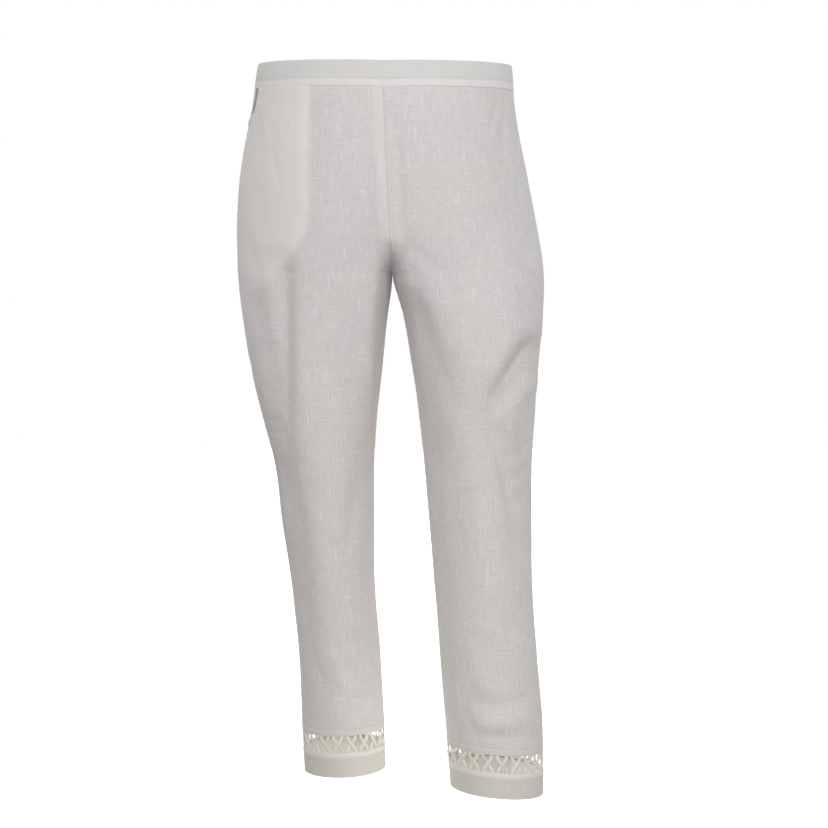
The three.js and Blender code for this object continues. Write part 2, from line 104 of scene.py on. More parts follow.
# Openwork: pairs of ribbons that cross, wider where their ends are sewn in at the seams
LATTICE_PITCH = 18.5
LATTICE_ARM = 5
LATTICE_CROSSING = 6
RIBBON_STEPS = 16
RIBBON_SIDES = (
    (-1, 0), (-0.55, 0.5), (0, 0.68), (0.55, 0.5),
    (1, 0), (0.5, -0.36), (0, -0.42), (-0.5, -0.36),
)
RIBBON_THICK = 0.55
RIBBON_SPREAD = 0.5
RIBBON_SPREAD_REACH = 30
RIBBON_OVER = 0.42
RIBBON_SUNK = 0.3
RIBBON_TUCKED = 0.95
RIBBON_INSET = 1.5
RIBBON_END_SHORT = 0.6
RIBBON_BEND = 0.72
# Seeded unevenness of the ribbons: shift, width, roll and where the roll starts
RIBBON_SHIFT = 0.35
RIBBON_UNEVEN = 0.05
RIBBON_ROLL = 0.5
RIBBON_ROLL_START = 0.4
OPENWORK_SEEDS = {("right", "front"): 61, ("right", "back"): 62, ("left", "front"): 63, ("left", "back"): 64}

# Pocket in the wearer's right side seam. The edge is x of the bag's forward edge by depth
POCKET_DEPTH = 258
POCKET_REACH = 92
POCKET_CORNER = 110
POCKET_ROWS = (44, 24)
POCKET_COLUMNS = 40
POCKET_INSIDE = 2.9
POCKET_HOLLOW = 14
POCKET_EDGE = ((0, 168, 190, 206, 222, 240, 258, 268), (-90, -90, -94, -101, -113, -130, -149, -170))
POCKET_SEAM_GAP = 0.02
POCKET_FOOT = 0.1
POCKET_HOLLOW_AT = 0.2
POCKET_HOLLOW_WIDTH = 0.16
POCKET_OPEN_BELOW = 8
POCKET_OPEN_RUN = 26
POCKET_NOISE = (22, 30, 51)
POCKET_UNEVEN = 0.5
POCKET_THREAD_SCALE = 90
POCKET_FADE_Z = -190
POCKET_FADE_RUN = 85
POCKET_EDGE_SOFT = 8
POCKET_EDGE_SOFTER_LOW = 14
POCKET_RISE = 0.6
POCKET_SEAM_EDGES = (4, 18, 7)
POCKET_SEAM_RISE = 0.35
POCKET_ROLL = 1.5
POCKET_ROLL_REACH = 6
POCKET_STITCH_AT = 7
POCKET_STITCH_DEPTH = 0.5
POCKET_STITCH_WIDTH = 0.9
# The centre front's seam allowance shows through as a lighter strip
CENTRE_STRIP_EDGES = (1.4, 15, 3)
CENTRE_STRIP_SHARE = 0.45
POCKET_MOUTH_LOW = -64
POCKET_MOUTH_PULL = 22.5
POCKET_MOUTH_RUN = 24

# Panel meshes: columns closer together beside the seams, and the cut's place on the bolt
EDGE_STATIONS = (0, 0.8, 1.6, 2.6, 4, 6)
MIDDLE_COLUMNS = {"front": 60, "back": 70}
ROW_STEP = 3.3
ROW_SAMPLES = 500
CLOTH_OFFSETS = {
    ("right", "front"): (0, 0),
    ("left", "front"): (410, 130),
    ("right", "back"): (835, -210),
    ("left", "back"): (1270, 320),
}

# Seams: groove depth and half width, allowance under the cloth, and the wave along the stitches
SEAM_DEPTH = {"side": 0.8, "centre": 0.1, "inseam": 0.45}
SEAM_WIDTH = 1.3
ALLOWANCE_EDGES = (1.6, 11, 2.5)
SIDE_ALLOWANCE_RISE = 0.28
CENTRE_ALLOWANCE_RISE = 0.22
SEAM_WAVE = 11.5
SEAM_WAVE_REACH = 7
SEAM_WAVE_SIDE = 0.3
SEAM_WAVE_CENTRE = 0.24
SEAM_WAVE_DRIFT = 2.2
SEAM_WAVE_CELLS = (30, 34, 31)

# Stitches: rings along each one, as a place from -1 to 1 and a share of the radius
STITCH_LENGTH = 2.5
STITCH_PITCH = 3.3
STITCH_RADIUS = 0.24
STITCH_SAG = 0.12
STITCH_SIDES = 6
STITCH_RINGS = ((-1, 0.25), (-0.72, 0.85), (0, 1), (0.72, 0.85), (1, 0.25))

# The straight grain down the middle of each leg: heights below the origin, and x there
GRAIN_LINE = {
    "right": ((-16, 240, 888), (-88, -84, -58)),
    "left": ((-16, 240, 888), (90, 100, 142)),
}

# Uneven gathers of the elastic back waist and the few beside the left side seam in front
BACK_PUCKERS = 30
FRONT_PUCKERS = ((0.915, 0.5), (0.945, 0.8), (0.972, 1.1), (0.988, 0.7), (0.03, 0.5))
FRONT_PUCKER_WIDTH = 0.006
PUCKER_SEED = 11
PUCKER_REACH = 22
SEAT_GATHERS = 6
SEAT_GATHER_DEPTH = 3
SEAT_GATHER_LENGTH = 115

# The relief calms down over this height above the trim
HEM_CALM_START = 2
HEM_CALM_RUN = 26
# Uneven cloth: cell width, cell height, height of the relief, seed
SOFT_NOISE = ((95, 150, 1.6, 21), (40, 70, 0.85, 22), (17, 26, 0.26, 23), (7, 9, 0.07, 24))
NOISE_TABLE = 32
CREASE_GAIN = 1.4
CREASE_POINTS = 15
FOLD_END_SHARE = 0.3

# Steps for normals and tangents: turns in radians, heights in millimetres
TURN_STEP = 0.004
HEIGHT_STEP = 0.6
LEG_STITCH_STEP = 0.01
WAIST_STITCH_STEP = 0.008
WAIST_STITCH_PROUD = 0.14
WAIST_STITCH_GATHER = 0.97
WAIST_STITCH_END = 0.01
STITCH_SAMPLES = {"leg": 721, "waist": 500}

# Colours as display values, and tints that multiply them
PANEL_COLOUR = (224, 220, 220)
BAND_COLOUR = (228, 226, 225)
HEM_COLOUR = (222, 218, 211)
TAPE_COLOUR = (222, 217, 208)
RIBBON_COLOUR = (234, 232, 219)
THREAD_COLOUR = (232, 230, 222)
WARM_TINT = (1.0, 0.993, 0.968, 1)
# Down the legs the cloth turns warmer in tone and darker: the darkening is painted shade for less light on
# the lower legs
LEG_WARMTH_AND_SHADE = (0.978, 0.975, 0.95, 1)
LEG_WARMTH_AND_SHADE_FROM = -0.24
LEG_WARMTH_AND_SHADE_TO = -0.42
STRIP_TINT = (1.095, 1.09, 1.1, 1)
BACKED_TINT = (1.0, 0.998, 0.985, 1)
# Light added where the pocket backs the cloth, which includes a painted highlight along the bag's forward
# edge
BACKING_AND_HIGHLIGHT_LIGHT = 0.105
BACKED_SMOOTHNESS = 0.62

# Shader noise: cells a metre across and along, detail, roughness, offset
FINE_NOISE = (1500, 1500, 1, 0.5, 5)
MOTTLE_NOISE = (26, 18, 3, 0.55, 1.9)
WARMTH_NOISE = (14, 9, 2, 0.5, 31)
RIBBON_NOISE = (300, 300, 2, 0.5, 4)
LINEN_LIGHT = 0.93
# Factor and start of the light that each noise or rib gives
RIBBON_MOTTLE = (0.12, -0.04)
RIBBON_RIBS = (0.05, 0.9)
THREAD_PLY = (0.25, 0.85)
FINE_LIGHT = 0.06
MOTTLE_LIGHT = 0.05
WARMTH_RANGE = (0.4, 0.66)
WEAVE_HEIGHT = 0.3
FINE_HEIGHT = 0.5
# Slubs and thin places: cells a metre across and along, detail, roughness, offset,
# the noise range that counts, light added (or taken), height added
THREADS = (
    (520, 40, 2, 0.55, 3.1, 0.55, 0.74, 0.12, 0.5),
    (55, 390, 2, 0.55, 7.3, 0.55, 0.76, 0.11, 0.4),
    (330, 26, 1, 0.4, 27, 0.64, 0.76, 0.11, 0.5),
    (560, 50, 2, 0.5, 11.7, 0.28, 0.5, -0.07, 0),
    (70, 480, 2, 0.5, 19.9, 0.28, 0.5, -0.06, 0),
)
# What is the same all over each material, and its bump: strength, and height in metres
LINEN_SURFACE = {"Roughness": 0.92, "Specular IOR Level": 0.25, "Sheen Weight": 0.12, "Sheen Roughness": 0.5}
RIBBON_SURFACE = {"Roughness": 0.78, "Specular IOR Level": 0.3, "Sheen Weight": 0.1}
THREAD_SURFACE = {"Roughness": 0.7}
LINEN_BUMP = (0.35, 0.0003)
RIBBON_BUMP = (0.4, 0.0003)
THREAD_BUMP = (0.3, 0.0002)
# Thread spacing in metres: across and along
LINEN_WEAVE = (0.00075, 0.0008)
RIBBON_WEAVE = (0.0007, 0.0006)

# Camera in metres and degrees
CAMERA_PLACE = (0.0375, -2.9, -0.2468)
CAMERA_PITCH = 3.408
CAMERA_FOCAL = 99.66
CAMERA_SENSOR = 36

# Floor and lights, in metres and degrees
FLOOR_Z = -0.985
FLOOR_SIZE = 14
FLOOR_SURFACE = {
    "Base Color": (0.9, 0.9, 0.9, 1),
    "Roughness": 0.9,
    "Specular IOR Level": 0.0,
    "Emission Color": (1, 1, 1, 1),
    "Emission Strength": 0.8,
}
AMBIENT = 0.4
# Light that the pale floor sends up into each hem: x, y
HEM_LIGHTS = ((-0.0515, 0.03), (0.1415, -0.052))
HEM_LIGHT_SIZE = 0.085
HEM_LIGHT_POWER = 0.17
HEM_LIGHT_LIFT = 0.004
# A soft light above the camera, nearer the waist than the hems
FILL_PLACE = (0.2, -1.6, 0.5)
FILL_TARGET = (0.06, 0, -0.15)
FILL_SIZE = 1.0
FILL_POWER = 3.9
# Name, azimuth, elevation, strength, width, whether it casts shadows
SUNS = (
    ("key", 10, 28, 1.38, 35, True),
    ("back", 190, 30, 1.2, 40, True),
    ("left", -125, 15, 0.6, 40, False),
    ("right", 140, 15, 0.7, 40, True),
)

COLUMNS = ("z", "inner", "outer", "front", "back", "front_leg", "back_leg", "seam", "tilt")
SECTIONS = {
    "right": (
        (16, 0, -158, -108, 112, 0, 0, 0.9, -0.026),
        (-16, 0, -163, -111, 117, 0, 0, 0.9, -0.026),
        (-68, 2, -172, -117, 129, 0.02, 0.04, 0.92, -0.02),
        (-129, 5, -181.5, -120, 139, 0.05, 0.14, 0.94, -0.01),
        (-190, 8, -185, -118, 140, 0.1, 0.38, 0.95, 0),
        (-240, 10, -184, -112, 128, 0.18, 0.72, 0.95, 0),
        (-300, 2, -178, -104, 115, 0.28, 0.93, 0.96, 0),
        (-360, -3, -169.5, -96, 105, 0.42, 1, 0.96, 0),
        (-420, -9, -155.5, -90, 99, 0.66, 1, 0.97, 0),
        (-480, -12, -140, -85, 95, 0.88, 1, 0.97, 0),
        (-560, -13, -130, -78, 91, 1, 1, 0.97, 0.01),
        (-640, -12.5, -119.5, -66, 90, 1, 1, 0.97, 0.02),
        (-720, -6.5, -111, -53, 91, 1, 1, 0.97, 0.03),
        (-800, -2, -107, -42, 92, 1, 1, 0.97, 0.036),
        (-878.5, 0.5, -103.5, -34, 94, 1, 1, 0.97, 0.037),
    ),
    "left": (
        (16, 0, 160, -108, 112, 0, 0, 0.88, 0.014),
        (-16, 0, 163, -111, 117, 0, 0, 0.88, 0.014),
        (-68, 2, 169, -117, 129, 0.02, 0.04, 0.9, 0.008),
        (-129, 5, 181.5, -120, 139, 0.05, 0.14, 0.93, 0.002),
        (-190, 8, 193, -118, 140, 0.1, 0.38, 0.95, 0),
        (-240, 10, 200.5, -112, 127, 0.25, 0.72, 0.95, 0),
        (-300, 27, 199.5, -108, 109, 0.5, 0.93, 0.96, -0.005),
        (-360, 37, 194, -105, 93, 0.76, 1, 0.96, -0.01),
        (-420, 44.5, 189, -104, 82, 0.95, 1, 0.97, -0.02),
        (-480, 50.5, 185.5, -104, 72, 1, 1, 0.97, -0.03),
        (-560, 57.5, 184.5, -106, 58, 1, 1, 0.97, -0.045),
        (-640, 64, 185.5, -107, 42, 1, 1, 0.97, -0.06),
        (-720, 69.5, 192, -108, 29, 1, 1, 0.97, -0.075),
        (-800, 76.5, 198.5, -110, 17, 1, 1, 0.97, -0.085),
        (-888, 83.5, 200, -111, 8, 1, 1, 0.97, -0.09),
    ),
}

# The solids' own folds: face, from x z, to x z, width, depth
FOLDS = (
    ("front", -119, -228, -125, -430, 14, -4.5),
    ("front", -125, -430, -93, -700, 15, -2.5),
    ("front", -148, -235, -152, -330, 12, 3),
    ("front", -162, -262, -141, -400, 11, -3.5),
    ("front", 15, -45, 20, -205, 13, -2.5),
    ("front", 50, -238, 92, -450, 21, 3.5),
    ("front", 187, -328, 132, -409, 14, -5.5),
    ("front", 176, -300, 122, -378, 14, 2.5),
    ("front", 128, -425, 170, -598, 15, -3),
    ("front", 115, -793, 180, -788, 13, 2),
    ("back", -40, -262, -92, -350, 17, -5),
    ("back", 62, -262, 116, -352, 18, -5),
    ("back", -30, -455, -98, -500, 15, -4),
    ("back", 84, -462, 160, -512, 15, -4),
    ("back", -34, -560, -84, -538, 13, -3),
)

# Finer creases on top of them: start x z, middle x z, end x z, width, depth, skew to one side
CREASES = {
    "front": (
        (-121, -208, -128, -325, -122, -468, 21, -6.8, 0.35),
        (-132, -385, -127, -500, -104, -680, 15, -3.4, 0.2),
        (-148, -225, -152, -285, -150, -345, 12, -1.8, 0),
        (-118, -440, -108, -540, -100, -640, 7, -1.3, -0.2),
        (-108, -236, -109, -300, -104, -372, 8, 1.1, -0.3),
        (-152, -376, -136, -436, -121, -470, 9, -1.1, 0.3),
        (-141, -452, -128, -500, -119, -556, 8, -1.2, 0.2),
        (-156, -424, -141, -426, -126, -430, 4, -0.6, 0.2),
        (-152, -440, -138, -441, -124, -444, 4, -0.5, 0.2),
        (-60, -262, -54, -330, -58, -400, 9, -0.9, 0.2),
        (-34, -262, -38, -350, -44, -430, 9, -1.1, -0.2),
        (-76, -480, -66, -560, -60, -640, 9, -0.9, 0.2),
        (-26, -470, -38, -540, -42, -610, 8, -1.5, 0.2),
        (-70, -700, -56, -745, -40, -772, 8, 0.9, 0.2),
        (-96, -690, -84, -740, -66, -790, 7, -1, 0.2),
        (-28, -650, -26, -720, -34, -790, 8, -0.8, 0.2),
        (-7, -30, -7, -130, -6, -215, 6, 1.5, 0),
        (14, -30, 17, -120, 20, -205, 9, -2, 0.3),
        (13, -196, 30, -232, 56, -262, 8, -1.1, 0.3),
        (28, -200, 58, -230, 98, -252, 11, -0.9, 0.3),
        (-14, -204, -34, -232, -62, -250, 10, -0.9, -0.3),
        (30, -255, 56, -320, 92, -425, 14, -3.4, 0.2),
        (22, -268, 38, -330, 56, -420, 8, 1.3, 0),
        (74, -262, 96, -340, 116, -420, 14, 1.3, 0),
        (191, -318, 162, -356, 126, -400, 6, -1.9, 0.3),
        (184, -350, 160, -386, 132, -414, 9, -1.8, 0.2),
        (196, -366, 174, -400, 148, -430, 7, 1.6, 0.2),
        (188, -390, 168, -408, 146, -430, 5, -1.1, 0.2),
        (183, -396, 179, -455, 178, -525, 10, 1.8, 0),
        (187, -446, 172, -462, 154, -472, 5, -0.8, 0.2),
        (186, -474, 170, -492, 150, -500, 5, -0.7, 0.2),
        (186, -504, 172, -524, 158, -534, 5, -0.6, 0.2),
        (127, -406, 147, -472, 177, -606, 13, -4.8, -0.35),
        (108, -440, 116, -530, 134, -620, 10, 0.9, 0),
        (140, -376, 146, -450, 151, -560, 9, 1.6, 0.3),
        (172, -372, 174, -450, 178, -560, 10, -2.4, -0.2),
        (78, -470, 92, -560, 104, -650, 9, -0.9, 0.2),
        (168, -640, 152, -700, 140, -752, 9, -0.9, 0.2),
        (104, -690, 118, -735, 140, -770, 9, 1, 0.2),
        (96, -760, 140, -772, 190, -762, 12, -1.8, 0),
        (110, -792, 142, -797, 176, -790, 8, 1.2, 0),
        (112, -812, 148, -813, 186, -818, 7, -1.6, 0.2),
        (100, -770, 110, -800, 116, -822, 6, -0.9, 0.2),
        (152, -26, 148, -62, 150, -96, 4, -1.7, 0.2),
        (146, -24, 136, -48, 130, -76, 4, -1.3, 0.2),
        (-150, -40, -143, -72, -131, -106, 4, 0.6, 0.2),
        (-141, -62, -133, -104, -122, -150, 4, -0.6, 0.2),
        (-160, -120, -150, -160, -146, -214, 8, -0.8, 0.2),
        (-176, -186, -160, -226, -150, -262, 9, -1, 0.2),
    ),
    "back": (
        (-16, -226, -48, -266, -96, -300, 7, -1.7, 0.3),
        (-22, -262, -58, -304, -104, -346, 6, -1.6, 0.3),
        (-24, -300, -56, -340, -96, -384, 7, 1.2, 0.2),
        (-30, -350, -66, -384, -112, -402, 7, -1.3, 0.2),
        (-150, -190, -142, -262, -146, -330, 10, -1.2, 0.2),
        (-128, -210, -118, -300, -120, -380, 9, 1, 0),
        (-24, -440, -62, -474, -106, -486, 6, -1.6, 0.3),
        (-26, -486, -60, -512, -100, -524, 6, 1.2, 0.2),
        (-30, -520, -64, -538, -96, -560, 6, -1.3, 0.2),
        (-90, -560, -76, -640, -70, -730, 9, -1, 0.2),
        (-44, -590, -48, -680, -56, -770, 9, 0.9, 0),
        (-34, -700, -50, -760, -74, -796, 7, -1, 0.2),
        (34, -228, 66, -268, 112, -300, 7, -1.7, 0.3),
        (44, -264, 82, -308, 124, -350, 6, -1.6, 0.3),
        (50, -306, 84, -344, 130, -384, 7, 1.2, 0.2),
        (62, -356, 96, -390, 142, -404, 7, -1.3, 0.2),
        (168, -196, 160, -262, 166, -330, 10, -1.2, 0.2),
        (140, -214, 132, -300, 140, -370, 9, 1, 0),
        (74, -446, 112, -480, 160, -490, 6, -1.6, 0.3),
        (80, -492, 116, -518, 160, -528, 6, 1.2, 0.2),
        (88, -540, 124, -556, 166, -562, 6, -1.3, 0.2),
        (100, -570, 118, -650, 124, -740, 9, -1, 0.2),
        (150, -590, 152, -680, 148, -780, 9, 0.9, 0),
        (110, -730, 130, -780, 158, -806, 7, -1, 0.2),
    ),
}

# Small curves
def smooth_step(t):
    held = np.clip(t, 0, 1)
    return held * held * (3 - 2 * held)


def bell(t):
    return np.exp(-np.square(t))


def strip_between(distance, rise, width, fall):
    """1 on a strip from 0 to width, with a soft start and end."""
    return smooth_step(distance / rise) * smooth_step((width - distance) / fall)


def distance_along(line):
    return np.append(0, np.cumsum(np.linalg.norm(np.diff(line, axis=0), axis=-1)))


def repeated(values, columns):
    return np.repeat(values[:, None], columns, axis=1)


def by_face(is_front, values):
    return np.where(is_front, values["front"], values["back"])


# The smooth form that the solids have
def hem_low(side):
    return SECTIONS[side][-1][0]


def section_at(side, z):
    """The section's named columns at heights z, on one smooth curve through the rows."""
    rows = np.array(SECTIONS[side], float)
    k = np.sum(rows[1:-1, 0] > z[..., None], axis=-1)
    a, b = rows[k], rows[k + 1]
    before, after = rows[np.maximum(k - 1, 0)], rows[np.minimum(k + 2, len(rows) - 1)]
    span = (b[..., 0] - a[..., 0])[..., None]
    t = ((z - a[..., 0]) / span[..., 0])[..., None]
    slope_a = (b - before) / (b[..., :1] - before[..., :1]) * span
    slope_b = (after - a) / (after[..., :1] - a[..., :1]) * span
    values = (a * (2 * t**3 - 3 * t**2 + 1) + slope_a * (t**3 - 2 * t**2 + t)
              + b * (3 * t**2 - 2 * t**3) + slope_b * (t**3 - t**2))
    return {name: values[..., k] for k, name in enumerate(COLUMNS)}


def seam_turn(side, z):
    return math.pi * section_at(side, np.asarray(z, float))["seam"]


def centre_x(z):
    return CROTCH_X * np.maximum(0, (WAISTBAND_LOW - z) / (WAISTBAND_LOW - CROTCH_Z))


def inner_x(row, z):
    return np.where(z > CROTCH_Z, centre_x(z), row["inner"])


def crotch_share(z, is_front):
    height = by_face(is_front, CROTCH_CURVE)
    q = np.clip((CROTCH_Z + height - z) / height, 0, 1)
    return 1 - np.sqrt(1 - q * q)


def eased_crotch_share(z, is_front, from_seam):
    """The crotch curve's closing, exact at the seam and eased in height away from it."""
    offsets = np.linspace(-CROTCH_EASE, CROTCH_EASE, 9)
    eased = np.mean([crotch_share(z + offset, is_front) for offset in offsets], axis=0)
    weight = smooth_step((from_seam - 0.04) / 0.12)
    return crotch_share(z, is_front) * (1 - weight) + eased * weight


def skin(side, turn, z):
    """Points of the smooth skin, as the solids have it."""
    row = section_at(side, z)
    s, c = np.sin(turn / 2), np.cos(turn / 2)
    is_front = turn < math.pi
    near = bell(s / by_face(is_front, CROTCH_REACH))
    leg = np.maximum(0, np.where(is_front, row["front_leg"], row["back_leg"]))
    closed = leg + (eased_crotch_share(z, is_front, s) - leg) * near
    middle = (row["front"] + row["back"]) / 2
    half_depth = (row["back"] - row["front"]) / 2
    gain = 1 + BLEND_GAIN * leg * (1 - leg) * (1 - near)
    inner = inner_x(row, z)
    x = inner + (row["outer"] - inner) * s * (1 - closed + closed * s)
    y = middle - half_depth * c * (1 - closed + 2 * closed * s) * gain
    pivot = np.where(z > CROTCH_Z, inner, (inner + row["outer"]) / 2)
    return np.stack([x, y, z + row["tilt"] * (x - pivot)], axis=-1)


def skin_normal(side, turn, z):
    z_high = np.where(np.abs(z - CROTCH_Z) < HEIGHT_STEP, z, z + HEIGHT_STEP)
    ahead = skin(side, np.minimum(turn + TURN_STEP, 2 * math.pi), z)
    behind = skin(side, np.maximum(turn - TURN_STEP, 0), z)
    down = skin(side, turn, z - HEIGHT_STEP) - skin(side, turn, z_high)
    normal = np.cross(ahead - behind, down)
    normal /= np.linalg.norm(normal, axis=-1, keepdims=True)
    return normal if side == "right" else -normal


# Relief of the worn cloth
def noise(points, cell, tall, seed):
    """Smooth seeded noise from -1 to 1, in cells of one width and another height."""
    table = np.random.default_rng(seed).random((NOISE_TABLE,) * 3) * 2 - 1
    q = points / np.array([cell, cell, tall])
    low = np.floor(q).astype(int)
    f = q - low
    f = f * f * (3 - 2 * f)
    total = np.zeros(points.shape[:-1])
    for corner in np.ndindex(2, 2, 2):
        weight = np.prod(np.abs(1 - np.array(corner) - f), axis=-1)
        x, y, z = np.moveaxis((low + corner) % NOISE_TABLE, -1, 0)
        total += weight * table[x, y, z]
    return total


def fold_depth(point, is_front):
    depth = np.zeros(point.shape[:-1])
    for face, x0, z0, x1, z1, width, deep in FOLDS:
        run_x, run_z = x1 - x0, z1 - z0
        length = math.hypot(run_x, run_z)
        dx, dz = point[..., 0] - x0, point[..., 2] - z0
        share = (dx * run_x + dz * run_z) / length**2
        across = (dx * run_z - dz * run_x) / length
        ends = smooth_step(share / FOLD_END_SHARE + 0.5) * smooth_step((1 - share) / FOLD_END_SHARE + 0.5)
        held = is_front if face == "front" else ~is_front
        depth += np.where(held, deep * ends * bell(across / width), 0)
    return depth


def bent_path(places):
    """Points along a smooth curve through a start, a middle and an end."""
    start, through, end = np.array(places, float).reshape(3, 2)
    pull = 2 * through - (start + end) / 2
    t = np.linspace(0, 1, CREASE_POINTS)[:, None]
    return (1 - t) ** 2 * start + 2 * t * (1 - t) * pull + t**2 * end


def nearest_on_path(points, curve):
    """How far across the path each point is, signed by side, and its share of the way along."""
    best = np.full(len(points), np.inf)
    across = np.zeros(len(points))
    share = np.zeros(len(points))
    for k, (start, end) in enumerate(zip(curve[:-1], curve[1:])):
        run = end - start
        held = np.clip((points - start) @ run / (run @ run), 0, 1)
        off = points - start - held[:, None] * run
        distance = np.linalg.norm(off, axis=1)
        closer = distance < best
        way = np.sign(off[:, 0] * run[1] - off[:, 1] * run[0])
        best = np.where(closer, distance, best)
        across = np.where(closer, distance * way, across)
        share = np.where(closer, (k + held) / (len(curve) - 1), share)
    return across, share


def crease_depth(point, is_front):
    """Finer creases: each lies along a bent path and is steeper on one side."""
    depth = np.zeros(point.shape[:-1])
    x, z = point[..., 0], point[..., 2]
    for face, rows in CREASES.items():
        on_face = is_front if face == "front" else ~is_front
        for *places, width, deep, skew in rows:
            curve = bent_path(places)
            low, high = curve.min(axis=0) - 3 * width, curve.max(axis=0) + 3 * width
            near = on_face & (x > low[0]) & (x < high[0]) & (z > low[1]) & (z < high[1])
            if near.any():
                across, share = nearest_on_path(np.stack([x[near], z[near]], axis=-1), curve)
                sided = width * np.where(across > 0, 1 + skew, 1 - skew)
                depth[near] += deep * np.sin(math.pi * share) * bell(across / sided)
    return depth


def waist_share(side, turn, z):
    """How far round the waist a turn is, from the right side seam to the left, on its own face."""
    seam = seam_turn(side, z)
    reach = np.where(turn < seam, turn / seam, (2 * math.pi - turn) / (2 * math.pi - seam))
    return (1 - reach) / 2 if side == "right" else (1 + reach) / 2


def pucker_table(face):
    """Each pucker's place round the waist, width and depth."""
    if face == "front":
        return [(at, FRONT_PUCKER_WIDTH, deep) for at, deep in FRONT_PUCKERS]
    rng = np.random.default_rng(PUCKER_SEED)
    table = []
    for k in range(BACK_PUCKERS):
        at = (k + 0.5 + rng.uniform(-0.3, 0.3)) / BACK_PUCKERS
        table.append((at, rng.uniform(0.0065, 0.0105), rng.uniform(0.9, 2.4)))
    return table


def pucker_depth(face, share):
    """How far the gathers pull the cloth in at the waistband, all round one face."""
    depth = np.zeros(np.shape(share))
    for at, width, deep in pucker_table(face):
        depth -= deep * bell((share - at) / width)
    return depth


def seat_gather(side, turn, z):
    seam = seam_turn(side, z)
    share = (turn - seam) / (2 * math.pi - seam)
    fade = 1 - smooth_step((WAISTBAND_LOW - z) / SEAT_GATHER_LENGTH)
    depth = -SEAT_GATHER_DEPTH * fade * np.sin(math.pi * SEAT_GATHERS * share) ** 2
    return np.where(share > 0, depth, 0)


def relief(side, turn, z):
    """The worn cloth's outer face, with its outward normals."""
    point = skin(side, turn, z)
    normal = skin_normal(side, turn, z)
    is_front = turn < math.pi
    near_band = np.exp(-np.maximum(0, WAISTBAND_LOW - z) / PUCKER_REACH)
    near_hem = smooth_step((z - hem_low(side) - HEM_HEIGHTS + HEM_CALM_START) / HEM_CALM_RUN)
    share = waist_share(side, turn, z)
    pucker = np.where(turn < seam_turn(side, z), pucker_depth("front", share), pucker_depth("back", share))
    soft = CREASE_GAIN * crease_depth(point, is_front)
    for cell, tall, height, seed in SOFT_NOISE:
        soft += height * noise(point, cell, tall, seed)
    raised = fold_depth(point, is_front) + soft * near_hem * (1 - near_band)
    raised += seat_gather(side, turn, z) * (1 - near_band) + pucker * near_band
    return point + normal * raised[..., None], normal


# Meshes
def mesh_object(name, points, faces, smooth, uv, floats=None):
    """A mesh piece from millimetre points, with one uv pair for each point."""
    mesh = bpy.data.meshes.new(name)
    mesh.from_pydata((np.asarray(points) * MM).tolist(), [], faces)
    mesh.polygons.foreach_set("use_smooth", smooth)
    layer = mesh.uv_layers.new(name="cloth")
    corner = np.empty(len(mesh.loops), int)
    mesh.loops.foreach_get("vertex_index", corner)
    layer.data.foreach_set("uv", (np.asarray(uv) * MM)[corner].astype(np.float32).ravel())
    for key, values in (floats or {}).items():
        attribute = mesh.attributes.new(key, "FLOAT", "POINT")
        attribute.data.foreach_set("value", np.asarray(values, np.float32))
    mesh.validate()
    mesh.update()
    piece = bpy.data.objects.new(name, mesh)
    bpy.context.scene.collection.objects.link(piece)
    return piece


def grid_faces(index, wraps=False):
    """Quads between the rows and columns of a grid of point numbers."""
    right = np.roll(index, -1, axis=1) if wraps else index[:, 1:]
    left = index if wraps else index[:, :-1]
    return np.stack([left[:-1], left[1:], right[1:], right[:-1]], axis=-1).reshape(-1, 4)


def signed_volume(points, quads):
    a, b, c, d = (points[quads[:, k]] for k in range(4))
    return np.sum(a * np.cross(b, c)) + np.sum(a * np.cross(c, d))


def shell_object(name, outer, inner, uv, floats=None):
    """A closed thin shell between two grids of points: rows down, columns across."""
    points = np.concatenate([outer.reshape(-1, 3), inner.reshape(-1, 3)])
    count = len(points) // 2
    index = np.arange(count).reshape(outer.shape[:2])
    sides = np.concatenate([grid_faces(index), grid_faces(index + count)[:, ::-1]])
    rims = [np.stack([edge[:-1], edge[:-1] + count, edge[1:] + count, edge[1:]], axis=-1)
            for edge in (index[0, ::-1], index[-1], index[:, 0], index[::-1, -1])]
    faces = np.concatenate([sides, *rims])
    if signed_volume(points, faces) < 0:
        faces = faces[:, ::-1]
    smooth = np.arange(len(faces)) < len(sides)
    both = {key: np.tile(values.ravel(), 2) for key, values in (floats or {}).items()}
    return mesh_object(name, points, faces.tolist(), smooth, np.tile(uv.reshape(-1, 2), (2, 1)), both)


def loop_object(name, loops, uv, wraps, floats=None):
    """A closed body from a profile loop (axis 0) carried along columns (axis 1)."""
    points = loops.reshape(-1, 3)
    index = np.arange(len(points)).reshape(loops.shape[:2])
    sides = grid_faces(np.concatenate([index, index[:1]]), wraps)
    ends = [] if wraps else [index[::-1, 0], index[:, -1]]
    if signed_volume(points, sides) < 0:
        sides = sides[:, ::-1]
        ends = [end[::-1] for end in ends]
    faces = sides.tolist() + [end.tolist() for end in ends]
    smooth = np.arange(len(faces)) < len(sides)
    flat = {key: values.ravel() for key, values in (floats or {}).items()}
    return mesh_object(name, points, faces, smooth, uv.reshape(-1, 2), flat)


def tube_faces(rings):
    """Faces of a closed tube from rings of points (axis 1) along a path (axis 0)."""
    index = np.arange(rings[..., 0].size).reshape(rings.shape[:2])
    points = rings.reshape(-1, 3)
    sides = grid_faces(index, wraps=True)
    ends = [index[0], index[-1, ::-1]]
    if signed_volume(points - points.mean(axis=0), sides) < 0:
        sides = sides[:, ::-1]
        ends = [end[::-1] for end in ends]
    return sides.tolist() + [end.tolist() for end in ends]


def shifted_faces(faces, base):
    return [[base + corner for corner in face] for face in faces]


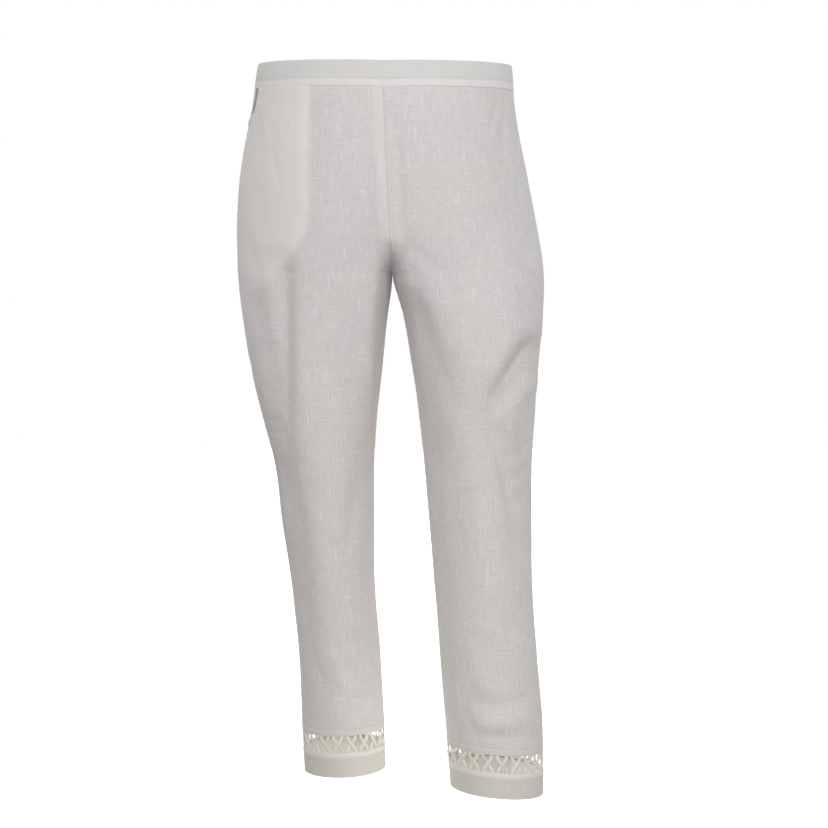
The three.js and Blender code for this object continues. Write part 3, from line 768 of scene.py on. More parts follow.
# Leg panels
def grain_turn(side, heights, face):
    """The turn at which each row crosses the straight grain of its panel."""
    row = section_at(side, heights)
    inner = inner_x(row, heights)
    share = (np.interp(-heights, *GRAIN_LINE[side]) - inner) / (row["outer"] - inner)
    leg = np.clip(row[f"{face}_leg"], 0.001, 1)
    s = (np.sqrt((1 - leg) ** 2 + 4 * leg * share) - (1 - leg)) / (2 * leg)
    turn = 2 * np.arcsin(np.clip(s, 0, 1))
    return turn if face == "front" else 2 * math.pi - turn


def measured_rows(side, heights, start, end):
    """Many turns along each row of a panel, and the distance along the cloth to each."""
    turns = start[:, None] + (end - start)[:, None] * np.linspace(0, 1, ROW_SAMPLES)
    line = skin(side, turns, repeated(heights, ROW_SAMPLES))
    return turns, np.array([distance_along(row) for row in line])


def interp_rows(at, known, values):
    return np.array([np.interp(*row) for row in zip(at, known, values)])


def panel_stations(lengths, columns):
    """Distances across rows of these lengths, closer together beside the seams."""
    edge = np.array(EDGE_STATIONS)
    middle = np.linspace(edge[-1], lengths - edge[-1], columns + 1, axis=-1)[:, 1:-1]
    start = np.tile(edge, (len(lengths), 1))
    return np.concatenate([start, middle, lengths[:, None] - edge[::-1]], axis=1)


def panel_rows(side, face):
    """Heights of a panel's rows, closer together at its tucked ends and round the crotch curve."""
    curve = CROTCH_CURVE[face]
    curve_rows = CROTCH_CURVE_ROWS[face]
    high = WAISTBAND_LOW + TUCK
    low = hem_low(side) + HEM_HEIGHTS - TUCK
    curve_high = CROTCH_Z + curve
    top = [high, high - 1.2, high - 2.2, high - TUCK, high - TUCK - 1.2]
    seat = np.linspace(top[-1] - 1.4, curve_high, round((top[-1] - curve_high) / ROW_STEP))
    quarter = np.arange(1, curve_rows + 1) / curve_rows * math.pi / 2
    round_crotch = curve_high - curve * np.sin(quarter)
    under = [CROTCH_Z - below for below in (0.7, 1.6, 2.8, 4.4, 6.4, 9)]
    leg = np.linspace(CROTCH_Z - 12, low + 9, round((CROTCH_Z - 21 - low) / ROW_STEP))
    bottom = [low + above for above in (6.6, 5, TUCK + 0.4, TUCK - 0.4, 2, 0)]
    return np.concatenate([top, seat, round_crotch, under, leg, bottom])


def held_off_centre(side, point, z):
    """Keeps the cloth on its own side of the centre seams down to where the legs part."""
    sign = -1 if side == "right" else 1
    centre = centre_x(np.maximum(z, CROTCH_Z))
    held = (z > CROTCH_Z - 12) & ((point[..., 0] - centre) * sign < CENTRE_GAP)
    point[..., 0] = np.where(held, centre + sign * CENTRE_GAP, point[..., 0])
    return point


def beside_seam(distance):
    """A share that is largest just beside a seam."""
    return np.exp(-distance / SEAM_WAVE_REACH) * smooth_step(distance / 2)


def seam_relief(side, face, cloth, below_crotch, from_side, from_centre, closed):
    """Seam grooves, the allowances that lift the cloth beside them, and the wave along the stitches."""
    groove = np.where(below_crotch, SEAM_DEPTH["inseam"], SEAM_DEPTH["centre"])
    depth = -SEAM_DEPTH["side"] * bell(from_side / SEAM_WIDTH) * closed
    depth -= groove * bell(from_centre / SEAM_WIDTH)
    if face == "back":
        depth += SIDE_ALLOWANCE_RISE * strip_between(from_side, *ALLOWANCE_EDGES)
    if side == "left" or face == "back":
        depth += CENTRE_ALLOWANCE_RISE * strip_between(from_centre, *ALLOWANCE_EDGES)
    drift = SEAM_WAVE_DRIFT * noise(cloth, *SEAM_WAVE_CELLS)
    wave = np.sin(2 * math.pi * cloth[..., 2] / SEAM_WAVE + drift)
    depth += SEAM_WAVE_SIDE * wave * beside_seam(from_side) * closed
    depth += SEAM_WAVE_CENTRE * wave * beside_seam(from_centre)
    return depth


def pocket_relief(cloth, from_side, mouth, free):
    """How the pocket bag lifts the front, its rolled mouth, and how far it backs the cloth; the strip along
    the bag's forward edge counts more, for its seam allowance showing through and as a painted highlight.
    """
    x, z = cloth[..., 0], cloth[..., 2]
    from_edge = np.interp(-z, *POCKET_EDGE) - x
    lowness = smooth_step((POCKET_FADE_Z - z) / POCKET_FADE_RUN)
    inside = smooth_step(from_edge / (POCKET_EDGE_SOFT + POCKET_EDGE_SOFTER_LOW * lowness) + 0.5)
    bag_seam = strip_between(from_edge, *POCKET_SEAM_EDGES) * (1 - 0.8 * lowness)
    depth = (POCKET_RISE * inside + POCKET_SEAM_RISE * bag_seam) * free * (1 - 0.75 * lowness)
    depth += POCKET_ROLL * np.exp(-from_side / POCKET_ROLL_REACH) * mouth * free
    depth -= POCKET_STITCH_DEPTH * bell((from_side - POCKET_STITCH_AT) / POCKET_STITCH_WIDTH) * mouth
    # Lighter still along the bag's forward edge: the seam allowance showing through, and painted highlight
    return depth, inside * (1 + 0.4 * bag_seam) * (1 - 0.3 * lowness)


def panel(side, face):
    """One leg's front or back, from under the waistband to under the upper tape."""
    heights = panel_rows(side, face)
    seam = seam_turn(side, heights)
    has_pocket = (side, face) == ("right", "front")
    pull = POCKET_MOUTH_PULL * smooth_step((heights - POCKET_MOUTH_LOW) / POCKET_MOUTH_RUN) * has_pocket
    start, end = (0 * seam, seam) if face == "front" else (seam, 0 * seam + 2 * math.pi)
    turns, lengths = measured_rows(side, heights, start, end)
    width = lengths[:, -1] - pull
    from_start = panel_stations(width, MIDDLE_COLUMNS[face])
    from_end = width[:, None] - from_start
    turn = interp_rows(from_start, lengths, turns)
    grain = interp_rows(grain_turn(side, heights, face), turns, lengths)
    z = repeated(heights, turn.shape[1])
    cloth, normal = relief(side, turn, z)

    from_centre, from_side = (from_start, from_end) if face == "front" else (from_end, from_start)
    mouth = has_pocket * smooth_step((z - POCKET_MOUTH_LOW) / 8)
    panel_low = hem_low(side) + HEM_HEIGHTS
    tucked = smooth_step((z - WAISTBAND_LOW + 0.9) / 1.8) + smooth_step((panel_low - z + 0.9) / 1.8)
    below_crotch = z < CROTCH_Z
    depth = seam_relief(side, face, cloth, below_crotch, from_side, from_centre, 1 - mouth)
    depth -= TUCK_DEPTH * tucked
    floats = {}
    if has_pocket:
        raised, backing_and_highlight = pocket_relief(cloth, from_side, mouth, 1 - tucked)
        depth += raised
        strip = strip_between(from_centre, *CENTRE_STRIP_EDGES) * ~below_crotch
        floats["backing_and_highlight"] = backing_and_highlight + CENTRE_STRIP_SHARE * strip
    outer = cloth + normal * depth[..., None]
    inner = held_off_centre(side, outer - normal * CLOTH, z)
    outer = held_off_centre(side, outer, z)
    way = 1 if (side == "left") == (face == "front") else -1
    cut_x, cut_z = CLOTH_OFFSETS[side, face]
    uv = np.stack([way * (from_start - grain[:, None]) + cut_x, z + cut_z], axis=-1)
    piece = shell_object(f"{face}_{side}_cloth", outer, inner, uv, floats)
    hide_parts(f"{face}_{side}")
    return piece


# Bands
def band_profile(low, high, outside, inside, grooves, bulge, step):
    """A flattened loop (lift, z) round a folded band: outer face down, bottom, inner face up, top."""
    radius = (outside - inside) / 2
    middle = (outside + inside) / 2
    arc = np.linspace(0, math.pi, 7)[1:-1]
    across, along = radius * np.cos(arc), radius * np.sin(arc)
    down = np.linspace(high - radius, low + radius, max(3, round((high - low - 2 * radius) / step)))
    lift = outside + bulge * np.sin(math.pi * (down - low) / (high - low))
    for at, deep, width in grooves:
        lift = lift - deep * bell((down - at) / width)
    outer = np.stack([lift, down], axis=-1)
    bottom = np.stack([middle + across, low + radius - along], axis=-1)
    inner = np.stack([np.full_like(down, inside), down[::-1]], axis=-1)
    top = np.stack([middle - across, high - radius + along], axis=-1)
    return np.concatenate([outer, bottom, inner, top])


def waistband(face):
    """Half the waistband, smooth in front and gathered on its elastic behind."""
    steps = WAIST_COLUMNS[face]
    share = np.linspace(BAND_END_GAP, 1 - BAND_END_GAP, steps)
    high = WAISTBAND_HEIGHT / 2
    profile = band_profile(WAISTBAND_LOW, high, BAND_PROUD, BAND_INSIDE, WAIST_GROOVES, BAND_BULGE,
                           BAND_STEP["waist"])
    loops = np.zeros((len(profile), steps, 3))
    for side, chosen in (("right", share < 0.5), ("left", share >= 0.5)):
        lift, z = (repeated(column, chosen.sum()) for column in profile.T)
        around = np.broadcast_to(share[chosen], z.shape)
        reach = np.abs(2 * around - 1)
        seam = seam_turn(side, z)
        turn = seam * reach if face == "front" else 2 * math.pi - (2 * math.pi - seam) * reach
        point, normal = skin(side, turn, z), skin_normal(side, turn, z)
        raised = lift + pucker_depth(face, around) * (1 - 0.25 * smooth_step((z + 4) / 18))
        for cell, tall, height, seed in WAIST_NOISE[face]:
            raised += height * noise(point, cell, tall, seed)
        pinch = np.sin(2 * math.pi * point[..., 0] / PINCH_PITCH) * bell((z - WAIST_STITCH_Z) / PINCH_REACH)
        raised += PINCH_DEPTH[face] * pinch * (lift > BAND_MIDDLE)
        loops[:, chosen] = point + normal * raised[..., None]
    z = repeated(profile[:, 1], steps)
    uv = np.stack([np.broadcast_to((share - 0.5) * WAIST_LENGTH[face], z.shape), z], axis=-1)
    piece = loop_object(f"waistband_{face}_cloth", loops, uv, False, {"low_strip": z < WAIST_STITCH_Z})
    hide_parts(f"waistband_{face}")
    return piece


def tape_profile(low, high, outside):
    """A narrow tape with a shallow groove along each edge."""
    grooves = [(at, *TAPE_GROOVE) for at in (low + TAPE_EDGE, high - TAPE_EDGE)]
    return band_profile(low, high, outside, -RIBBON_SUNK, grooves, TAPE_BULGE, BAND_STEP["tape"])


def hem_profile(low, high):
    """A doubled hem, its top tucked behind the lower tape."""
    grooves = ((low + HEM_STITCH_UP, *HEM_GROOVE),)
    profile = band_profile(low, high + TUCK, BAND_PROUD / 2, BAND_INSIDE, grooves, 0, BAND_STEP["hem"])
    lift, z = profile.T
    tuck = smooth_step((z - high + 0.6) / 1.4)
    return np.stack([np.where(lift > BAND_MIDDLE, lift - HEM_TUCK_DEPTH * tuck, lift), z], axis=-1)


def leg_loop(name, side, profile, seed):
    """A band right round one leg from a profile of lift and height."""
    turns = np.linspace(0, 2 * math.pi, LOOP_COLUMNS, endpoint=False)
    lift, z = (repeated(column, LOOP_COLUMNS) for column in profile.T)
    cloth, normal = relief(side, np.broadcast_to(turns, z.shape), z)
    points = cloth + normal * (lift + BAND_UNEVEN * noise(cloth, 16, 30, seed))[..., None]
    around = np.cumsum(np.linalg.norm(np.diff(cloth[0], axis=0, append=cloth[0][:1]), axis=-1))
    return loop_object(name, points, np.stack([np.broadcast_to(around, z.shape), z], axis=-1), True)


# Openwork
def ribbon_path(way, pitch, rng):
    """Along one ribbon: t from -1 to 1, then places across and up from the crossing."""
    half_open = LATTICE_HEIGHT / 2 - RIBBON_INSET
    half_wide = (pitch - LATTICE_CROSSING) / 2
    arm_across = LATTICE_ARM * math.hypot(half_wide, half_open) / half_open
    spread = pitch / 2 - arm_across / 2 + rng.uniform(-RIBBON_SHIFT, RIBBON_SHIFT)
    t = np.linspace(-1, 1, RIBBON_STEPS + 1)
    up = t * (LATTICE_HEIGHT / 2 + TUCK - RIBBON_END_SHORT)
    slant = np.sin(np.clip(up / half_open, -1, 1) * math.pi / 2) * spread
    lift = -RIBBON_TUCKED * smooth_step((np.abs(up) - half_open) / 3)
    return t, way * (RIBBON_BEND * slant + (1 - RIBBON_BEND) * t * spread), up, lift


def ribbon_width(t, from_seam, rng):
    """Half the ribbon's width, less at its crossing and more near a seam."""
    uneven = 1 - 0.1 * bell(t / 0.25) + rng.uniform(-RIBBON_UNEVEN, RIBBON_UNEVEN)
    return LATTICE_ARM / 2 * uneven * (1 + RIBBON_SPREAD * bell(from_seam / RIBBON_SPREAD_REACH))


def openwork(side, face):
    """Crossed ribbons between the two tapes of half a leg."""
    rng = np.random.default_rng(OPENWORK_SEEDS[side, face])
    middle = hem_low(side) + HEM_HEIGHT + LOW_BINDING_HEIGHT + LATTICE_HEIGHT / 2
    seam = float(seam_turn(side, middle))
    start, end = (0.0, seam) if face == "front" else (seam, 2 * math.pi)
    samples = np.linspace(start, end, 400)
    lengths = distance_along(skin(side, samples, np.full(400, middle)))
    total = lengths[-1]
    repeats = round(total / LATTICE_PITCH)
    pitch = total / repeats
    ring = np.array(RIBBON_SIDES)
    points, faces, uv = [], [], []
    for k in range(repeats):
        crossing = (k + 0.5) * pitch
        for way in (1, -1):
            t, u, v, lift = ribbon_path(way, pitch, rng)
            over = 1 if (k % 2 == 0) == (way == 1) else -1
            lift = lift + RIBBON_OVER * over * bell(t / 0.3)
            roll = rng.uniform(-RIBBON_ROLL, RIBBON_ROLL) * (1 - t**2)
            roll *= np.sin(math.pi * (t + rng.uniform(-RIBBON_ROLL_START, RIBBON_ROLL_START)))
            width = ribbon_width(t, min(crossing, total - crossing), rng)
            du, dv = np.gradient(u), np.gradient(v)
            slope = np.hypot(du, dv)
            cos, sin = np.cos(roll)[:, None], np.sin(roll)[:, None]
            offset_w = ring[:, 0] * width[:, None]
            offset_n = ring[:, 1] * RIBBON_THICK
            flat_w = offset_w * cos - offset_n * sin
            rise = offset_w * sin + offset_n * cos + lift[:, None]
            flat_u = crossing + u[:, None] + (dv / slope)[:, None] * flat_w
            flat_v = middle + v[:, None] - (du / slope)[:, None] * flat_w
            surface, normal = relief(side, np.interp(flat_u, lengths, samples), flat_v)
            body = surface + normal * (rise - RIBBON_SUNK)[..., None]
            faces += shifted_faces(tube_faces(body), sum(len(part) for part in points))
            points.append(body.reshape(-1, 3))
            along = np.broadcast_to(v[:, None], flat_u.shape)
            uv.append(np.stack([offset_w + 17 * k, along], axis=-1).reshape(-1, 2))
    smooth = [len(face_points) == 4 for face_points in faces]
    piece = mesh_object(f"openwork_{side}_{face}", np.concatenate(points), faces, smooth, np.concatenate(uv))
    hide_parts(f"lattice_{side}_{face}")
    return piece


# Pocket bag
def pocket_bag():
    """The bag inside the wearer's right front, hollowed where its mouth opens."""
    side = "right"
    high, low = WAISTBAND_LOW + TUCK, WAISTBAND_LOW - POCKET_DEPTH
    straight_rows, corner_rows = POCKET_ROWS
    corner_turns = np.linspace(0.06, math.pi / 2, corner_rows)
    heights = np.concatenate([np.linspace(high, low + POCKET_CORNER, straight_rows),
                              low + POCKET_CORNER - POCKET_CORNER * np.sin(corner_turns)])
    seam = seam_turn(side, heights) - POCKET_SEAM_GAP
    samples = np.linspace(0, 1, 600)
    x_of = np.abs(skin(side, seam[:, None] * samples, repeated(heights, 600))[..., 0])
    forward = seam * np.array([np.interp(POCKET_REACH, row, samples) for row in x_of])
    q = np.clip((low + POCKET_CORNER - heights) / POCKET_CORNER, 0, 1)
    rounding = np.sqrt(np.maximum(0, 1 - q * q))
    reach = (seam - forward) * (POCKET_FOOT + (1 - POCKET_FOOT) * rounding)
    share = np.linspace(0, 1, POCKET_COLUMNS)
    turn = seam[:, None] - reach[:, None] * share
    z = repeated(heights, POCKET_COLUMNS)
    cloth, normal = relief(side, turn, z)
    opened = smooth_step((z - POCKET_MOUTH_LOW + POCKET_OPEN_BELOW) / POCKET_OPEN_RUN)
    hollow = bell((share - POCKET_HOLLOW_AT) / POCKET_HOLLOW_WIDTH) * opened
    depth = -POCKET_INSIDE - POCKET_HOLLOW * hollow
    depth += POCKET_UNEVEN * (noise(cloth, *POCKET_NOISE) - bell((1 - share) * 32))
    outer = cloth + normal * depth[..., None]
    inner = outer - normal * POCKET_CLOTH
    uv = np.stack([turn * POCKET_THREAD_SCALE, z], axis=-1)
    piece = shell_object("pocket_bag_right_cloth", outer, inner, uv)
    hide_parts("pocket_bag_right")
    return piece


# Stitches
def stitch_row(name, centres, tangents, normals):
    """One joined mesh of small raised stitches."""
    angle = np.arange(STITCH_SIDES) * 2 * math.pi / STITCH_SIDES
    cos, sin = np.cos(angle)[:, None], np.sin(angle)[:, None]
    at, size = (np.array(values)[:, None, None] for values in zip(*STITCH_RINGS))
    vectors = (centres, tangents, normals, np.cross(normals, tangents))
    centre, along, up, out = (v[:, None, None] for v in vectors)
    rings = (centre + along * at * STITCH_LENGTH / 2 - up * STITCH_SAG * at**2
             + STITCH_RADIUS * size * (out * cos + up * sin))
    index = np.arange(len(STITCH_RINGS) * STITCH_SIDES).reshape(-1, STITCH_SIDES)
    template = grid_faces(index, wraps=True)[:, [0, 3, 2, 1]].tolist()
    template += [index[0, ::-1].tolist(), index[-1].tolist()]
    faces = [face for k in range(len(rings)) for face in shifted_faces(template, k * index.size)]
    points = rings.reshape(-1, 3)
    return mesh_object(name, points, faces, [True] * len(faces), points[:, [0, 2]])


def stitch_turns(line, samples):
    """Turns at one even spacing along a sampled line."""
    lengths = distance_along(line)
    count = round(lengths[-1] / STITCH_PITCH)
    return np.interp((np.arange(count) + 0.5) * lengths[-1] / count, lengths, samples)


def stitch_frames(place, turns, step):
    """Centre, direction and outward normal of the stitch at each turn."""
    here, up = place(turns)
    tangent = place(turns + step)[0] - here
    return here, tangent / np.linalg.norm(tangent, axis=-1, keepdims=True), up


def stitches_round_leg(name, side, z, lift):
    def place(turn):
        return relief(side, turn, np.full(len(turn), float(z)))

    samples = np.linspace(0, 2 * math.pi, STITCH_SAMPLES["leg"])
    turns = stitch_turns(place(samples)[0], samples)
    here, tangent, up = stitch_frames(place, turns, LEG_STITCH_STEP)
    return stitch_row(name, here + up * lift, tangent, up)


def stitches_on_waistband(face):
    def place(turn):
        z = np.full(len(turn), WAIST_STITCH_Z)
        point, normal = skin(side, turn, z), skin_normal(side, turn, z)
        depth = pucker_depth(face, waist_share(side, turn, z)) * WAIST_STITCH_GATHER
        depth += BAND_PROUD + WAIST_STITCH_PROUD
        return point + normal * depth[..., None], normal

    frames = []
    for side in ("right", "left"):
        seam = float(seam_turn(side, WAIST_STITCH_Z))
        start, end = (0, seam) if face == "front" else (seam, 2 * math.pi)
        samples = np.linspace(start + WAIST_STITCH_END, end - WAIST_STITCH_END, STITCH_SAMPLES["waist"])
        turns = stitch_turns(skin(side, samples, np.full(len(samples), WAIST_STITCH_Z)), samples)
        frames.append(stitch_frames(place, turns, WAIST_STITCH_STEP))
    centres, tangents, normals = (np.concatenate(parts) for parts in zip(*frames))
    return stitch_row(f"stitches_waistband_{face}", centres, tangents, normals)


# Materials
def linear(rgb):
    """Linear colour from display values of 0 to 255."""
    return tuple(((v / 255 + 0.055) / 1.055) ** 2.4 for v in rgb) + (1,)


def tinted(colour, tint):
    return tuple(c * k for c, k in zip(colour, tint))


def add_node(tree, kind, inputs=None, **settings):
    """A new shader node with its settings, its inputs either joined to sockets or set to values."""
    node = tree.nodes.new(kind)
    for key, value in settings.items():
        setattr(node, key, value)
    for key, value in (inputs or {}).items():
        if isinstance(value, bpy.types.NodeSocket):
            tree.links.new(value, node.inputs[key])
        else:
            node.inputs[key].default_value = value
    return node


class Nodes:
    """A short way to make and join the nodes of one material."""

    def __init__(self, name):
        self.material = bpy.data.materials.new(name)
        self.material.use_nodes = True
        self.tree = self.material.node_tree
        self.shader = self.tree.nodes["Principled BSDF"]

    def add(self, kind, inputs=None, **settings):
        return add_node(self.tree, kind, inputs, **settings)

    def math(self, operation, a, b=0.0, c=0.0):
        return self.add("ShaderNodeMath", {0: a, 1: b, 2: c}, operation=operation).outputs[0]

    def times(self, a, b):
        return self.math("MULTIPLY", a, b)

    def about_zero(self, value, size):
        """A noise of 0 to 1 scaled to a size and centred on zero."""
        return self.math("MULTIPLY_ADD", value, size, -size / 2)

    def total(self, first, *others):
        for other in others:
            first = self.math("ADD", first, other)
        return first

    def mix(self, blend, factor, a, b):
        node = self.add("ShaderNodeMix", data_type="RGBA", blend_type=blend)
        for key, value in (("Factor_Float", factor), ("A_Color", a), ("B_Color", b)):
            socket = next(s for s in node.inputs if s.identifier == key)
            if isinstance(value, bpy.types.NodeSocket):
                self.tree.links.new(value, socket)
            else:
                socket.default_value = value
        return next(s for s in node.outputs if s.identifier == "Result_Color")

    def uv(self):
        return self.add("ShaderNodeUVMap", uv_map="cloth").outputs[0]

    def attribute(self, name):
        return self.add("ShaderNodeAttribute", attribute_name=name, attribute_type="GEOMETRY").outputs["Fac"]

    def noise(self, vector, scale_u, scale_v, detail, rough, offset):
        mapped = self.add("ShaderNodeMapping", {"Vector": vector, "Scale": (scale_u, scale_v, 1),
                                                "Location": (offset, offset * 0.7, 0)})
        return self.add("ShaderNodeTexNoise", {"Vector": mapped.outputs[0], "Scale": 1.0, "Detail": detail,
                                               "Roughness": rough}).outputs["Fac"]

    def ranged(self, value, low, high, to_low=0, to_high=1):
        return self.add("ShaderNodeMapRange", {"Value": value, "From Min": low, "From Max": high,
                                               "To Min": to_low, "To Max": to_high},
                        interpolation_type="SMOOTHSTEP").outputs[0]

    def weave(self, uv, spacings):
        """Ridges across and along the cloth, one for each thread."""
        split = self.add("ShaderNodeSeparateXYZ", {0: uv})
        return [self.math("ABSOLUTE", self.math("SINE", self.times(split.outputs[k], math.pi / spacing)))
                for k, spacing in enumerate(spacings)]

    def grey(self, value):
        return self.add("ShaderNodeCombineColor", {0: value, 1: value, 2: value}).outputs[0]

    def finish(self, colour, base, height, bump_size, values):
        """Joins the colour and bump to the shader, and sets the values that are the same all over."""
        self.tree.links.new(self.mix("MULTIPLY", 1.0, colour, base), self.shader.inputs["Base Color"])
        strength, distance = bump_size
        bump = self.add("ShaderNodeBump", {"Height": height, "Strength": strength, "Distance": distance})
        self.tree.links.new(bump.outputs[0], self.shader.inputs["Normal"])
        for key, value in values.items():
            self.shader.inputs[key].default_value = value
        return self.material


def linen(name, rgb, slub=1.0, backing_and_highlight=False, strip=False):
    """Slub linen: thick and thin threads both ways, a plain weave, a soft mottle, and a warmer tone with
    painted shade down the legs.
    """
    n = Nodes(name)
    uv = n.uv()
    fine = n.noise(uv, *FINE_NOISE)
    grain = n.about_zero(fine, FINE_LIGHT)
    ridges = [n.times(ridge, WEAVE_HEIGHT) for ridge in n.weave(uv, LINEN_WEAVE)]
    height = n.total(*ridges, n.times(fine, FINE_HEIGHT))
    for *cells, low, high, light, raised in THREADS:
        ends = (0, 1) if light > 0 else (1, 0)
        thread_share = n.ranged(n.noise(uv, *cells), low, high, *ends)
        grain = n.total(grain, n.times(thread_share, light * slub))
        if raised:
            height = n.total(height, n.times(thread_share, raised * slub))
    colour = base = linear(rgb)
    if backing_and_highlight:
        area = n.attribute("backing_and_highlight")
        grain = n.times(grain, n.math("MULTIPLY_ADD", area, -BACKED_SMOOTHNESS, 1.0))
        # Lighter where the pocket backs the cloth, with painted highlight along the bag's forward edge
        grain = n.total(grain, n.times(area, BACKING_AND_HIGHLIGHT_LIGHT))
        base = n.mix("MIX", area, colour, tinted(colour, BACKED_TINT))
    if strip:
        base = n.mix("MIX", n.attribute("low_strip"), colour, tinted(colour, STRIP_TINT))
    mottle = n.about_zero(n.noise(uv, *MOTTLE_NOISE), MOTTLE_LIGHT)
    warmth = n.ranged(n.noise(uv, *WARMTH_NOISE), *WARMTH_RANGE)
    shade = n.mix("MULTIPLY", warmth, n.grey(n.total(LINEN_LIGHT, grain, mottle)), WARM_TINT)
    place = n.add("ShaderNodeSeparateXYZ", {0: n.add("ShaderNodeTexCoord").outputs["Object"]}).outputs[2]
    # Warmer and darker down the legs: the warmth is the cloth's tone, the darkening is painted shade
    shade = n.mix("MULTIPLY", n.ranged(place, LEG_WARMTH_AND_SHADE_FROM, LEG_WARMTH_AND_SHADE_TO), shade, LEG_WARMTH_AND_SHADE)
    return n.finish(shade, base, height, LINEN_BUMP, LINEN_SURFACE)


def ribbon(name, rgb):
    """Cream ribbon with fine ribs along it and woven edges."""
    n = Nodes(name)
    uv = n.uv()
    ribs, picks = n.weave(uv, RIBBON_WEAVE)
    uneven = n.math("MULTIPLY_ADD", n.noise(uv, *RIBBON_NOISE), *RIBBON_MOTTLE)
    value = n.total(n.math("MULTIPLY_ADD", ribs, *RIBBON_RIBS), uneven)
    height = n.total(n.times(ribs, 0.5), n.times(picks, 0.4))
    return n.finish(n.grey(value), linear(rgb), height, RIBBON_BUMP, RIBBON_SURFACE)


def thread(name, rgb):
    """Sewing thread with a faint ply."""
    n = Nodes(name)
    place = n.add("ShaderNodeTexCoord").outputs["Object"]
    ply = n.add("ShaderNodeTexNoise", {"Vector": place, "Scale": 2500.0, "Detail": 1.0}).outputs["Fac"]
    value = n.math("MULTIPLY_ADD", ply, *THREAD_PLY)
    return n.finish(n.grey(value), linear(rgb), ply, THREAD_BUMP, THREAD_SURFACE)


LOOKS = {
    "panel": linen("slub_linen", PANEL_COLOUR),
    "pocketed": linen("slub_linen_over_pocket", PANEL_COLOUR, backing_and_highlight=True),
    "band": linen("doubled_linen", BAND_COLOUR, slub=0.3, strip=True),
    "hem": linen("hem_linen", HEM_COLOUR, slub=0.45),
    "tape": ribbon("cream_tape", TAPE_COLOUR),
    "ribbon": ribbon("cream_ribbon", RIBBON_COLOUR),
    "thread": thread("sewing_thread", THREAD_COLOUR),
}


def finish_piece(piece, look):
    piece.data.materials.append(LOOKS[look])
    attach(piece, "root")
    return piece


# Camera, floor and light
def add_camera():
    data = bpy.data.cameras.new("camera")
    data.lens = CAMERA_FOCAL
    data.sensor_width = CAMERA_SENSOR
    camera = bpy.data.objects.new("camera", data)
    camera.location = CAMERA_PLACE
    camera.rotation_euler = (math.radians(90 - CAMERA_PITCH), 0, 0)
    bpy.context.scene.collection.objects.link(camera)
    bpy.context.scene.camera = camera
    bpy.context.scene.view_settings.view_transform = "Standard"


def add_floor():
    """A pale floor that glows a little, seen by the camera and left out of the cloth's own light."""
    half = FLOOR_SIZE / 2
    corners = [(x * half, y * half, FLOOR_Z) for x, y in ((-1, -1), (1, -1), (1, 1), (-1, 1))]
    mesh = bpy.data.meshes.new("floor")
    mesh.from_pydata(corners, [], [(0, 1, 2, 3)])
    look = Nodes("pale_floor")
    for key, value in FLOOR_SURFACE.items():
        look.shader.inputs[key].default_value = value
    mesh.materials.append(look.material)
    floor = bpy.data.objects.new("floor", mesh)
    bpy.context.scene.collection.objects.link(floor)
    floor.visible_diffuse = False
    floor.visible_glossy = False


def add_world():
    """White where the camera sees it, and a softer even light on the object."""
    world = bpy.data.worlds.new("studio")
    bpy.context.scene.world = world
    world.use_nodes = True
    tree = world.node_tree
    tree.nodes.clear()
    ray = add_node(tree, "ShaderNodeLightPath").outputs["Is Camera Ray"]
    ambient, seen = (add_node(tree, "ShaderNodeBackground", {"Color": (1, 1, 1, 1), "Strength": strength})
                     for strength in (AMBIENT, 1.0))
    chooser = add_node(tree, "ShaderNodeMixShader", {0: ray, 1: ambient.outputs[0], 2: seen.outputs[0]})
    add_node(tree, "ShaderNodeOutputWorld", {0: chooser.outputs[0]})


def add_light(name, kind, place, rotation, settings):
    data = bpy.data.lights.new(name, kind)
    for key, value in settings.items():
        setattr(data, key, value)
    light = bpy.data.objects.new(name, data)
    light.location = place
    light.rotation_euler = rotation
    bpy.context.scene.collection.objects.link(light)
    return light


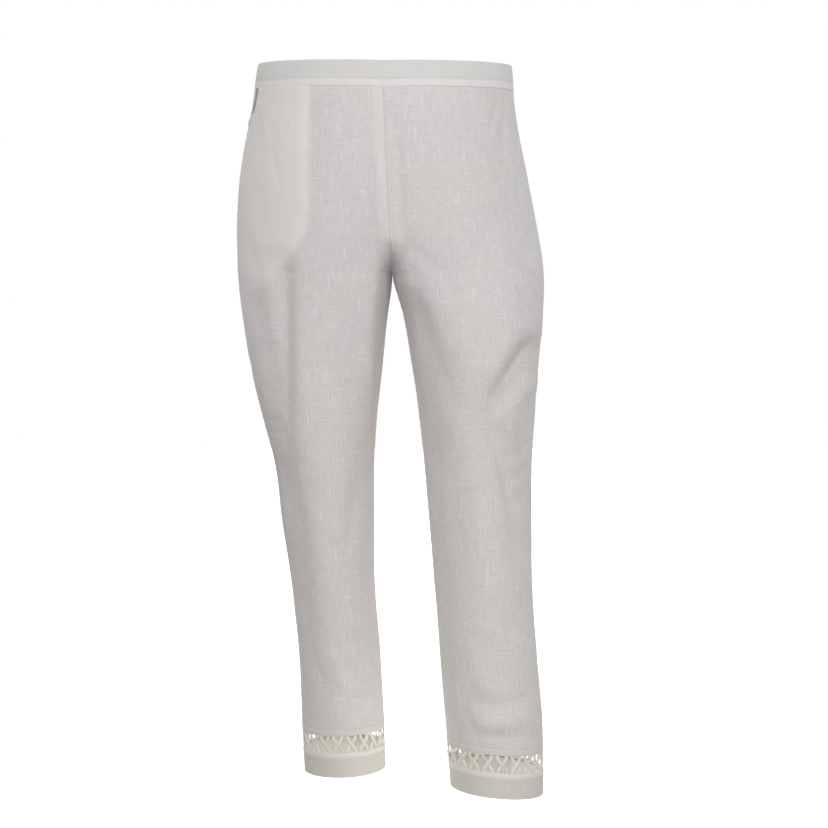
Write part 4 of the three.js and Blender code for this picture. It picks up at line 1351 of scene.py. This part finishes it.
def add_lights():
    for x, y in HEM_LIGHTS:
        settings = {"shape": "DISK", "size": HEM_LIGHT_SIZE, "energy": HEM_LIGHT_POWER}
        bounce = add_light("hem_bounce", "AREA", (x, y, FLOOR_Z + HEM_LIGHT_LIFT), (math.pi, 0, 0), settings)
        bounce.visible_camera = False
    aim = (Vector(FILL_TARGET) - Vector(FILL_PLACE)).to_track_quat("-Z", "Y").to_euler()
    add_light("fill", "AREA", FILL_PLACE, aim, {"size": FILL_SIZE, "energy": FILL_POWER})
    for name, azimuth, elevation, strength, width, shadows in SUNS:
        rotation = (math.radians(90 - elevation), 0, math.radians(azimuth))
        settings = {"energy": strength, "angle": math.radians(width), "use_shadow": shadows}
        add_light(name, "SUN", (0, 0, 0), rotation, settings)


# The pieces
def leg_panels(side):
    for face in ("front", "back"):
        look = "pocketed" if (side, face) == ("right", "front") else "panel"
        cloth = finish_piece(panel(side, face), look)


def hem_trim(side):
    """The openwork, tapes, hem band and stitches below one leg."""
    low = hem_low(side)
    hem_high = low + HEM_HEIGHT
    lattice_low = hem_high + LOW_BINDING_HEIGHT
    lattice_high = lattice_low + LATTICE_HEIGHT
    panel_low = lattice_high + BINDING_HEIGHT
    trim = [finish_piece(openwork(side, face), "ribbon") for face in ("front", "back")]
    upper_profile = tape_profile(lattice_high, panel_low, TAPE_PROUD["upper"])
    upper = leg_loop(f"tape_upper_{side}", side, upper_profile, LOOP_SEEDS["upper"])
    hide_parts(f"binding_{side}")
    trim.append(finish_piece(upper, "tape"))
    lower_profile = tape_profile(hem_high, lattice_low, TAPE_PROUD["lower"])
    lower = leg_loop(f"tape_lower_{side}", side, lower_profile, LOOP_SEEDS["lower"])
    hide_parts(f"low_binding_{side}")
    trim.append(finish_piece(lower, "ribbon"))
    hem = leg_loop(f"hem_band_{side}_cloth", side, hem_profile(low, hem_high), LOOP_SEEDS["hem"])
    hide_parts(f"hem_band_{side}")
    finish_piece(hem, "hem")
    rows = {
        "hem": low + HEM_STITCH_UP,
        "tape_low": hem_high + TAPE_EDGE,
        "tape_high": panel_low - TAPE_EDGE,
    }
    for label, z in rows.items():
        stitches = stitches_round_leg(f"stitches_{label}_{side}", side, z, STITCH_PROUD[label])
        trim.append(finish_piece(stitches, "thread"))


def waistband_half(face):
    band = finish_piece(waistband(face), "band")
    stitches = finish_piece(stitches_on_waistband(face), "thread")


add_camera()
for side in ("right", "left"):
    leg_panels(side)
    hem_trim(side)
for face in ("front", "back"):
    waistband_half(face)
bag = finish_piece(pocket_bag(), "panel")
add_floor()
add_world()
add_lights()
